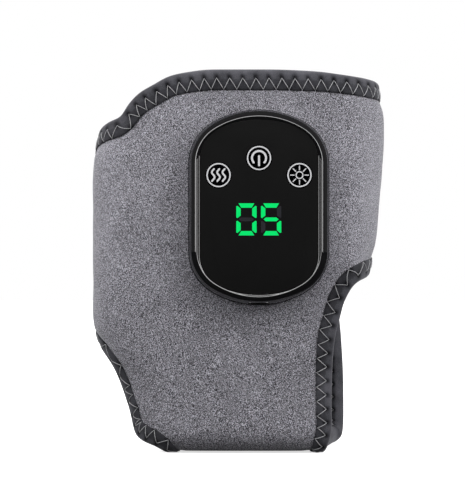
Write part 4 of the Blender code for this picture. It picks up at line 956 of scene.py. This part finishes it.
def stitchMesh(name, panel, path):
    # Thread zigzagging from hole to hole on both faces, arched between the holes
    form = bindingForm
    length, inwardWay = pathFrame(path)
    spots, outerLine = stitchSpots(length[-1])
    line = np.where(outerLine, form["stitchFar"], form["stitchNear"])
    shares = np.linspace(0, 1, 6)[:-1]
    place, across = (np.concatenate([a + (b - a) * shares for a, b in zip(ends, ends[1:])])
                     for ends in (spots, line))
    arch = form["threadArch"] * np.sqrt(np.clip(np.sin(shares * math.pi), 0, 1)) - form["threadSink"]
    lift = (legLift(across) + np.tile(arch, len(spots) - 1)
            - form["threadDip"] * dimplesAt(place, across, length[-1]))
    u, v = (np.interp(place, length, path[:, k]) + across * np.interp(place, length, inwardWay[:, k])
            for k in range(2))
    curve = bpy.data.curves.new(name, "CURVE")
    curve.dimensions = "3D"
    curve.bevel_depth = form["threadRadius"]
    curve.bevel_resolution = 1
    curve.use_fill_caps = True
    for depth in (-lift, form["stack"] + lift):
        spline = curve.splines.new("POLY")
        spline.points.add(len(place) - 1)
        for knot, point in zip(spline.points, facePoints(panel, u, v, depth)):
            knot.co = (*point, 1)
    return solidOf(addObject(name, curve))


def solidOf(source):
    # The evaluated mesh of an object that was only needed to make it
    graph = bpy.context.evaluated_depsgraph_get()
    mesh = bpy.data.meshes.new_from_object(source.evaluated_get(graph))
    bpy.data.objects.remove(source)
    return mesh


buildTape("heel_tape", nearPanel, outlines["heel"], None, ["heel_binding"])
buildTape("front_tape", nearPanel, outlines["front"], collarHinge,
          ["toe_binding", "collar_flap_binding", "tongue_binding", "shoulder_binding"])
buildTape("foot_tape", footPanel, outlines["foot"], footHinge, ["foot_flap_binding"])
buildTape("rear_wing_tape", wingPanel, outlines["wing"], None, ["rear_wing_binding"])


# Controller: housing, rim, lens, keys with their symbols, and the lit digits

controllerForm = {
    "baseProfile": ((.0007, 0), (.0003, .0001), (.0001, .0003), (0, .0007), (0, .0043),
                    (.0001, .0047), (.0004, .0050), (.0019, .0050), (.0019, .0016)),
    "rimStep": 0.0006,
    "rimBack": 0.0053,
    "rimGap": 0.0003,
    "rimShare": 0.8,
    "rimFront": ((0, .45), (.07, .64), (.18, .775), (.33, .88), (.5, .955), (.6, .988),
                 (.66, 1), (.71, .995), (.8, .978)),
    "rimLines": 40,
    "rimInner": ((-.00057, .014725), (-.0005, .01472), (-.0003, .01458), (-.0003, .0127),
                 (.0012, .0127), (.0012, .0113)),
    "rimWall": ((.0024, .0113), (.0024, .0053)),
    "lensProfile": ((0, .0130), (0, .01438), (.00004, .01446), (.00012, .0145)),
    "slotSize": (.0096, .0093, .0038),
    "slotCentre": (0, -.0415, .0110),
    "slotRounding": 0.0012,
}
keyForm = {
    "spots": {"heat": (-.01846, .0146), "power": (0, .0224), "light": (.01846, .0146)},
    "profile": ((.0066, .0121), (.0066, .0127), (.0058, .0127), (.0058, .01434),
                (.00576, .01445), (.00566, .0145)),
    "holeRadius": 0.0061,
    "sides": 72,
    "markLevels": (.01446, .01453),
    "ringRadii": (.00492, .00552),
    "waveSpacing": 0.00243,
    "waveHeight": 0.0055,
    "waveSwing": 0.00064,
    "waveStroke": 0.00082,
    "wavePhase": 0.27,
    "wavePeriod": 0.8,
    "arcRadius": 0.0032,
    "arcStroke": 0.00092,
    "arcOpening": 100,
    "barHeights": (.0008, -.0033),
    "sunRadii": (.00130, .00180),
    "rays": (.0024, .0041),
    "rayStroke": 0.00046,
}
digitForm = {
    "centres": (-.00575, .00552),
    "height": 0.01464,
    "width": 0.00926,
    "bar": 0.0020,
    "y": -.0056,
}


def archedRing(size, endRadius, cornerRadius, inset, level):
    # Points round an outline with arched ends, drawn in by an inset
    endY, cornerX = size[1] / 2 - endRadius, size[0] / 2 - cornerRadius
    cornerY = endY + math.sqrt((endRadius - cornerRadius) ** 2 - cornerX ** 2)
    lean = math.atan2(cornerY - endY, cornerX)
    ends = np.linspace(math.pi / 2, lean, caseForm["outlineSteps"], endpoint=False)
    bends = np.linspace(lean, 0, caseForm["outlineSteps"] + 1)
    x = np.concatenate(((endRadius - inset) * np.cos(ends),
                        cornerX + (cornerRadius - inset) * np.cos(bends)))
    y = np.concatenate((endY + (endRadius - inset) * np.sin(ends),
                        cornerY + (cornerRadius - inset) * np.sin(bends)))
    x, y = np.concatenate((x, x[::-1])), np.concatenate((y, -y[::-1]))
    x, y = np.concatenate((x, -x[-2:0:-1])), np.concatenate((y, y[-2:0:-1]))
    return np.stack((x, y, np.full(len(x), level)), axis=-1)


def caseRing(inset, level):
    return archedRing((caseForm["width"], caseForm["height"]), caseForm["endRadius"],
                      caseForm["cornerRadius"], inset, level)


def lensRing(inset, level):
    return archedRing((caseForm["lensWidth"], caseForm["lensHeight"]), caseForm["lensEndRadius"],
                      caseForm["lensCornerRadius"], inset, level)


def roundRing(radius, level, centre=(0, 0)):
    turns = np.linspace(0, 2 * math.pi, keyForm["sides"], endpoint=False)
    return np.stack((centre[0] + radius * np.cos(turns), centre[1] + radius * np.sin(turns),
                     np.full(len(turns), level)), axis=-1)


def addLoft(bm, rings, closed=False):
    # Skins a run of rings, capped at both ends or closed on itself
    spot = bm.verts.layers.int.get("spot") or bm.verts.layers.int.new("spot")
    verts = bmesh.ops.create_circle(bm, cap_ends=False, radius=1, segments=len(rings[0]))["verts"]
    for index, (vert, place) in enumerate(zip(verts, rings[0])):
        vert[spot] = index
        vert.co = place
    first = edges = list({edge for vert in verts for edge in vert.link_edges})
    for ring in rings[1:] + (rings[:1] if closed else []):
        made = bmesh.ops.extrude_edge_only(bm, edges=edges)["geom"]
        fresh = {item for item in made if isinstance(item, bmesh.types.BMVert)}
        for vert in fresh:
            vert.co = ring[vert[spot]]
        edges = [item for item in made
                 if isinstance(item, bmesh.types.BMEdge) and set(item.verts) <= fresh]
    if closed:
        bmesh.ops.remove_doubles(bm, verts=bm.verts, dist=1e-6)
    else:
        for loop in (first, edges):
            bmesh.ops.contextual_create(bm, geom=loop)
    bmesh.ops.recalc_face_normals(bm, faces=bm.faces)


def lofted(name, rings, closed=False):
    bm = bmesh.new()
    addLoft(bm, rings, closed)
    return meshOf(bm, name)


def withHoles(mesh, holes):
    # The mesh with other meshes cut out of it
    whole = addObject("whole", mesh)
    cutters = [addObject("cutter", hole) for hole in holes]
    for cutter in cutters:
        cut = whole.modifiers.new("Cut", "BOOLEAN")
        cut.solver = "EXACT"
        cut.object = cutter
    result = solidOf(whole)
    for cutter in cutters:
        bpy.data.objects.remove(cutter)
    return result


caseMatrix = (Matrix.Translation((caseForm["x"], caseForm["y"], caseForm["z"]))
              @ Matrix.Rotation(math.pi / 2, 4, "X"))


def casePiece(name, mesh, material, body="wrap", nodeNames=()):
    # Sets a piece that was made flat on the near wall
    mesh.transform(caseMatrix)
    mesh.name = name
    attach(newPiece(name, mesh, material, nodeNames), body)


def buildCase():
    form = controllerForm
    base = lofted("controller_base", [caseRing(*spot) for spot in form["baseProfile"]])
    casePiece("controller_base", base, mattePlastic, nodeNames=["base_housing"])
    height = caseForm["depth"] - form["rimBack"]
    width = (caseForm["width"] - caseForm["lensWidth"]) / 2 - form["rimStep"] - form["rimGap"]
    rings = [caseRing(form["rimStep"], form["rimBack"])]
    rings += [caseRing(form["rimStep"] + share * width,
                       form["rimBack"] + height * float(along(form["rimFront"], share)))
              for share in np.linspace(0, form["rimShare"], form["rimLines"])]
    rings += [lensRing(*spot) for spot in form["rimInner"]]
    rings += [caseRing(*spot) for spot in form["rimWall"]]
    bm = bmesh.new()
    bmesh.ops.create_cube(bm, size=1)
    bmesh.ops.scale(bm, vec=form["slotSize"], verts=bm.verts)
    upright = [edge for edge in bm.edges
               if abs(edge.verts[0].co.y - edge.verts[1].co.y) > form["slotSize"][1] / 2]
    bmesh.ops.bevel(bm, geom=upright, offset=form["slotRounding"], segments=5, profile=0.5,
                    affect="EDGES", material=-1)
    bmesh.ops.translate(bm, vec=form["slotCentre"], verts=bm.verts)
    rim = withHoles(lofted("controller_rim", rings, True), [meshOf(bm, "slot")])
    casePiece("controller_rim", rim, glossPlastic, nodeNames=["bezel"])
    levels = form["lensProfile"][0][1] - 0.001, form["lensProfile"][-1][1] + 0.001
    holes = [lofted("hole", [roundRing(keyForm["holeRadius"], level, spot) for level in levels])
             for spot in keyForm["spots"].values()]
    lens = withHoles(lofted("lens", [lensRing(*spot) for spot in form["lensProfile"]]), holes)
    casePiece("controller_lens", lens, lensPlastic, nodeNames=["display_lens"])
    for name, spot in keyForm["spots"].items():
        rings = [roundRing(radius, level, spot) for radius, level in keyForm["profile"]]
        casePiece(name + "_key_cap", lofted(name + "_key_cap", rings), keyPlastic,
                  name + "_key", [name + "_key"])
    print("Controller case made")


def strokeRings(points, width):
    # Upright sections along a stroke, with round ends
    points = np.array(points, float)
    way = np.gradient(points, axis=0)
    way /= np.hypot(*way.T)[:, None]
    side = np.stack((-way[:, 1], way[:, 0]), axis=-1) * width / 2
    turns = np.radians((20, 40, 60, 78))[:, None]
    end = points[-1] + way[-1] * width / 2 * np.sin(turns)
    start = (points[0] - way[0] * width / 2 * np.sin(turns))[::-1]
    middles = np.concatenate((start, points, end))
    sides = np.concatenate((side[0] * np.cos(turns[::-1]), side, side[-1] * np.cos(turns)))
    low, high = keyForm["markLevels"]
    return [np.array([(*(middle + half), low), (*(middle + half), high),
                      (*(middle - half), high), (*(middle - half), low)])
            for middle, half in zip(middles, sides)]


def symbolStrokes():
    # The lines of each key's symbol, with their widths
    form = keyForm
    share = np.linspace(0, 1, 28)
    swing = form["waveSwing"] * np.cos(2 * math.pi * (share - form["wavePhase"]) / form["wavePeriod"])
    rise = form["waveHeight"] * (0.5 - share)
    half = math.radians(180 - form["arcOpening"] / 2)
    turns = np.linspace(-half, half, 44)
    arc = form["arcRadius"] * np.column_stack((np.sin(turns), np.cos(turns)))
    bar = np.column_stack((np.zeros(6), np.linspace(*form["barHeights"], 6)))
    ray = np.linspace(*form["rays"], 4)[:, None]
    around = np.linspace(0, 2 * math.pi, 8, endpoint=False)
    return {
        "heat": [(np.column_stack((place * form["waveSpacing"] - swing, rise)), form["waveStroke"])
                 for place in (-1, 0, 1)],
        "power": [(arc, form["arcStroke"]), (bar, form["arcStroke"])],
        "light": [(ray * (math.cos(turn), math.sin(turn)), form["rayStroke"]) for turn in around],
    }


def addRing(bm, radii, centre):
    low, high = keyForm["markLevels"]
    inner, outer = radii
    addLoft(bm, [roundRing(outer, low, centre), roundRing(outer, high, centre),
                 roundRing(inner, high, centre), roundRing(inner, low, centre)], True)


def buildSymbols():
    strokes = symbolStrokes()
    for name, spot in keyForm["spots"].items():
        bm = bmesh.new()
        addRing(bm, keyForm["ringRadii"], spot)
        if name == "light":
            addRing(bm, keyForm["sunRadii"], spot)
        for points, width in strokes[name]:
            addLoft(bm, [ring + (*spot, 0) for ring in strokeRings(points, width)])
        casePiece(name + "_symbol", meshOf(bm, name + "_symbol"), glowingSymbolPaint,
                  name + "_key")


def segmentOutlines():
    # The seven bars of a digit, named by place
    w, h, bar = digitForm["width"] / 2, digitForm["height"] / 2, digitForm["bar"]
    slope, gap, tip = bar * 0.57, bar * 0.32, bar * 0.28
    top = [(-w + slope * 0.9, h), (w - slope * 0.9, h), (w - slope * 1.95, h - bar),
           (-w + slope * 1.95, h - bar)]
    side = [(w, h - bar * 0.68), (w, gap + bar * 0.1), (w - tip, gap), (w - bar, gap + bar * 0.55),
            (w - bar, h - bar * 1.18), (w - tip, h - bar * 0.56)]
    middle = [(-w + bar * 0.6, 0), (-w + bar * 1.1, bar * 0.43), (w - bar * 1.1, bar * 0.43),
              (w - bar * 0.6, 0), (w - bar * 1.1, -bar * 0.43), (-w + bar * 1.1, -bar * 0.43)]

    def turned(outline, across, up):
        return [(x * across, y * up) for x, y in outline]

    return {"top": top, "bottom": turned(top, 1, -1), "middle": middle,
            "upperRight": side, "lowerRight": turned(side, 1, -1),
            "upperLeft": turned(side, -1, 1), "lowerLeft": turned(side, -1, -1)}


def buildDigits():
    bars = segmentOutlines()
    dark = (("middle",), ("upperRight", "lowerLeft"))
    meshes = {"lit": bmesh.new(), "unlit": bmesh.new()}
    for centre, off in zip(digitForm["centres"], dark):
        place = np.array((centre, digitForm["y"]))
        for name, outline in bars.items():
            bm = meshes["unlit" if name in off else "lit"]
            addLoft(bm, [np.column_stack((np.array(outline) + place, np.full(len(outline), level)))
                         for level in keyForm["markLevels"]])
    paints = {"lit": litPaint, "unlit": unlitPaint}
    for name, bm in meshes.items():
        casePiece("digits_" + name, meshOf(bm, "digits_" + name), paints[name])
    print("Symbols and digits made")


def makeGlow(name, colour, glow, strength, roughness=0.4):
    # Colour that glows, a little uneven as light through a mask is. The digits are lit from behind; on the
    # painted key symbols the glow is painted light
    material = newMaterial(name, roughness=roughness, specular=0.2, emissionStrength=strength)
    uneven = noiseAt(material, objectPlace(material), 700.0, 2.0, 0.5)
    low, high = shade(0.97, glow), shade(1.03, glow)
    toShader(material, "Emission Color", rampOf(material, uneven, [(0.3, low), (0.7, high)]))
    toShader(material, "Base Color", rampOf(material, uneven, [(0.3, shade(0.95, colour)),
                                                               (0.7, colour)]))
    return material


mattePlastic = makePlastic("dark_matte_plastic", (0.009, 0.009, 0.010), (0.014, 0.014, 0.016), 0.50,
                           2600.0, 0.25, specular=0.12)
glossPlastic = makePlastic("black_gloss_plastic", (0.0035, 0.0035, 0.004), (0.0050, 0.0050, 0.0056),
                           0.06, 500.0, 0.01, specular=1.0)
lensPlastic = makePlastic("black_lens_plastic", (0.0090, 0.0090, 0.0090), (0.0098, 0.0098, 0.0098),
                          0.08, 300.0, 0.004, specular=0.05)
keyPlastic = makePlastic("key_plastic", (0.0006, 0.0006, 0.0007), (0.0010, 0.0010, 0.0012), 0.12,
                         600.0, 0.01, specular=0.05)
# The key symbols are paint; their glow is painted light that makes them brighter
glowingSymbolPaint = makeGlow("glowing_symbol_paint", (0.40, 0.40, 0.41), (0.62, 0.62, 0.64), 0.38)
litPaint = makeGlow("lit_digit", (0.0, 0.02, 0.004), (0.0, 0.791, 0.156), 1.0)
unlitPaint = makeGlow("unlit_digit", (0.012, 0.012, 0.014), (0.008, 0.008, 0.010), 1.0)
buildCase()
buildSymbols()
buildDigits()


# Hook tape inside the flaps

hookForm = {
    "collarEnds": (.0080, -.0165),
    "collarHeights": (.11625, .13445),
    "footEnds": (.0260, -.0260),
    "footHeights": (.0479, .0619),
    "cell": 0.0012,
    "waveDepth": 0.00008,
    "waveTurns": 2600,
}


def makeHookTape():
    material = newMaterial("hook_tape", roughness=0.7, specular=0.35)
    cells = addNode(material, "TexVoronoi", {"Vector": objectPlace(material), "Scale": 900.0})
    broad = noiseAt(material, objectPlace(material), 120.0, 2.0, 0.5)
    mixed = mathOf(material, "MULTIPLY_ADD", broad, 0.15, cells.outputs["Distance"])
    return surfaceOf(material, mixed, [(0.1, (0.05, 0.05, 0.053)), (0.75, (0.012, 0.012, 0.013))],
                     0.9, -0.0005)


def buildHooks(label, panel, start, ends, heights, node, body):
    low, high = heights
    first, last = (start + float(farU(x, (low + high) / 2)) for x in ends)
    u, v = np.meshgrid(spread(first, last, hookForm["cell"]), spread(low, high, hookForm["cell"]))
    turns = hookForm["waveTurns"]
    wave = hookForm["waveDepth"] * np.sin(u * turns) * np.sin(v * turns)
    top, bottom = layerForm["hook"]
    mesh = sheetMesh(label, facePoints(panel, u, v, top), facePoints(panel, u, v, bottom + wave),
                     np.zeros(u.shape, bool))
    piece = newPiece(label, mesh, hookCloth, [node])
    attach(piece, body)


hookCloth = makeHookTape()
buildHooks("collar_hooks", nearPanel, nearGirth, hookForm["collarEnds"],
           hookForm["collarHeights"], "collar_hook_patch", "collar_flap")
buildHooks("foot_hooks", footPanel, 0.0, hookForm["footEnds"], hookForm["footHeights"],
           "foot_hook_patch", "foot_flap")


# Materials of the solids that stay as they are

def makeMetal(name, low, high, roughness, stretch):
    return makeSurface(name, [(1.0, 900.0, 3.0, 0.6, stretch)], [(0.35, low), (0.65, high)],
                       0.15, 0.0001, metallic=1.0, roughness=roughness)


def makeBoard():
    material = newMaterial("board_laminate", roughness=0.35, specular=0.5)
    tracks = addNode(material, "TexBrick", {
        "Vector": objectPlace(material, turn=(math.pi / 2, 0, 0)), "Color1": (0.012, 0.15, 0.06, 1),
        "Color2": (0.016, 0.19, 0.075, 1), "Mortar": (0.03, 0.26, 0.11, 1), "Scale": 160.0,
        "Mortar Size": 0.06})
    toShader(material, "Base Color", tracks.outputs["Color"])
    bumpFrom(material, tracks.outputs["Fac"], 0.3, 0.0001)
    return material


def makeFilm():
    material = newMaterial("heater_film", roughness=0.35, specular=0.5)
    place = {"Vector": objectPlace(material), "Scale": 45.0, "Distortion": 2.0}
    tracks = addNode(material, "TexWave", place, wave_type="BANDS", bands_direction="Z")
    return surfaceOf(material, tracks.outputs["Fac"],
                     [(0.45, (0.40, 0.17, 0.05)), (0.55, (0.24, 0.22, 0.20))], 0.3, 0.0001)


def dress(material, *names):
    for name in names:
        for slot in nodes[name].material_slots:
            slot.material = material


motors = ["left_motor", "right_motor", "left_motor_weight", "right_motor_weight"]
screws = [kind + "_screw_%d" % k for kind in ("plate", "board") for k in (1, 2, 3, 4)]
dress(makeMetal("plain_steel", (0.50, 0.50, 0.52), (0.62, 0.62, 0.64), 0.32, (1, 8, 1)),
      "charging_socket", *motors, *screws)
dress(makeMetal("battery_foil", (0.55, 0.55, 0.58), (0.70, 0.70, 0.72), 0.45, (1, 1, 1)), "battery")
dress(makeBoard(), "circuit_board")
dress(makeFilm(), "heating_film")
dress(mattePlastic, "backing_plate", "led_display", "heat_switch", "power_switch", "light_switch")
dress(makePlastic("wire_sleeve", (0.38, 0.012, 0.012), (0.52, 0.02, 0.02), 0.5, 900.0, 0.05),
      "heater_lead")
print("Hooks and carried-over solids dressed")


# Floor, light and camera

stageForm = {
    "floorSize": 6.0,
    "floorColour": (0.93, 0.93, 0.935),
    "floorGlow": 0.65,
    "floorShade": (0.12, 0.12, 0.12),
    "floorMirrored": (0.02, 0.02, 0.02),
    "worldStrength": 0.90,
    "glossStrength": 8.0,
    "glossBand": ((0.0, 0.004), (0.11, 0.004), (0.15, 1.0), (0.23, 1.0), (0.28, 0.015),
                  (1.0, 0.015)),
    "cameraPlace": (-0.0029, -1.09275, 0.0960),
    "lens": 167.0,
    "sensor": 36.0,
    "lightTarget": (0, 0, 0.11),
}
# Each light's place, size and power
lightForms = {
    "left_softbox": ((-0.64, -0.34, 0.48), (0.5, 0.6), 3.0),
    "right_softbox": ((0.64, -0.34, 0.48), (0.5, 0.6), 4.0),
    "top_softbox": ((0.05, -0.46, 0.66), (0.45, 0.3), 0.7),
}


def byRay(owner, ray, others, chosen):
    # One shader for a kind of ray, and another for all others
    path = addNode(owner, "LightPath").outputs[ray]
    return addNode(owner, "MixShader", {0: path, 1: others, 2: chosen}).outputs[0]


def buildFloor():
    bm = bmesh.new()
    bmesh.ops.create_grid(bm, x_segments=1, y_segments=1, size=stageForm["floorSize"] / 2)
    material = newMaterial("pale_floor", colour=(*stageForm["floorColour"], 1), roughness=0.9,
                           specular=0.0)
    shaderNodes = material.node_tree.nodes
    # Seen by the camera the floor also glows a little, so that it is as white as the background
    glow = addNode(material, "Emission", {"Color": (1, 1, 1, 1), "Strength": stageForm["floorGlow"]})
    seen = addNode(material, "AddShader", {0: shaderNodes["Principled BSDF"].outputs[0],
                                           1: glow.outputs[0]})
    shaded, dark = (addNode(material, "BsdfDiffuse", {"Color": (*colour, 1)}).outputs[0]
                    for colour in (stageForm["floorShade"], stageForm["floorMirrored"]))
    unseen = byRay(material, "Is Glossy Ray", shaded, dark)
    material.node_tree.links.new(byRay(material, "Is Camera Ray", unseen, seen.outputs[0]),
                                 shaderNodes["Material Output"].inputs["Surface"])
    newPiece("floor", meshOf(bm, "floor"), material)


def buildWorld():
    world = bpy.data.worlds.new("studio")
    bpy.context.scene.world = world
    world.use_nodes = True
    white = (1, 1, 1, 1)
    # Reflections see a band of light round the camera, and darkness inside it
    way = addNode(world, "SeparateXYZ", {0: addNode(world, "TexCoord").outputs["Generated"]})
    share = addNode(world, "MapRange", {"Value": way.outputs["Y"], "From Min": -1.0}).outputs[0]
    band = rampOf(world, share, [(at, shade(value)) for at, value in stageForm["glossBand"]])
    lit, mirrored, seen = (
        addNode(world, "Background", {"Color": colour, "Strength": strength}).outputs[0]
        for colour, strength in ((white, stageForm["worldStrength"]),
                                 (band, stageForm["glossStrength"]), (white, 1.0)))
    chosen = byRay(world, "Is Camera Ray", byRay(world, "Is Glossy Ray", lit, mirrored), seen)
    world.node_tree.links.new(chosen, world.node_tree.nodes["World Output"].inputs["Surface"])


def addLight(name, place, size, energy):
    data = bpy.data.lights.new(name, "AREA")
    data.shape = "RECTANGLE"
    data.size, data.size_y = size
    data.energy = energy
    light = addObject(name, data)
    light.visible_glossy = False
    light.location = place
    way = Vector(stageForm["lightTarget"]) - Vector(place)
    light.rotation_euler = way.to_track_quat("-Z", "Y").to_euler()


def buildCamera():
    data = bpy.data.cameras.new("camera")
    data.lens = stageForm["lens"]
    data.sensor_width = stageForm["sensor"]
    camera = addObject("camera", data)
    camera.location = stageForm["cameraPlace"]
    camera.rotation_euler = (math.pi / 2, 0, 0)
    bpy.context.scene.camera = camera


buildFloor()
buildWorld()
for name, values in lightForms.items():
    addLight(name, *values)
buildCamera()
bpy.context.scene.view_settings.view_transform = "Standard"
print("Stage ready")
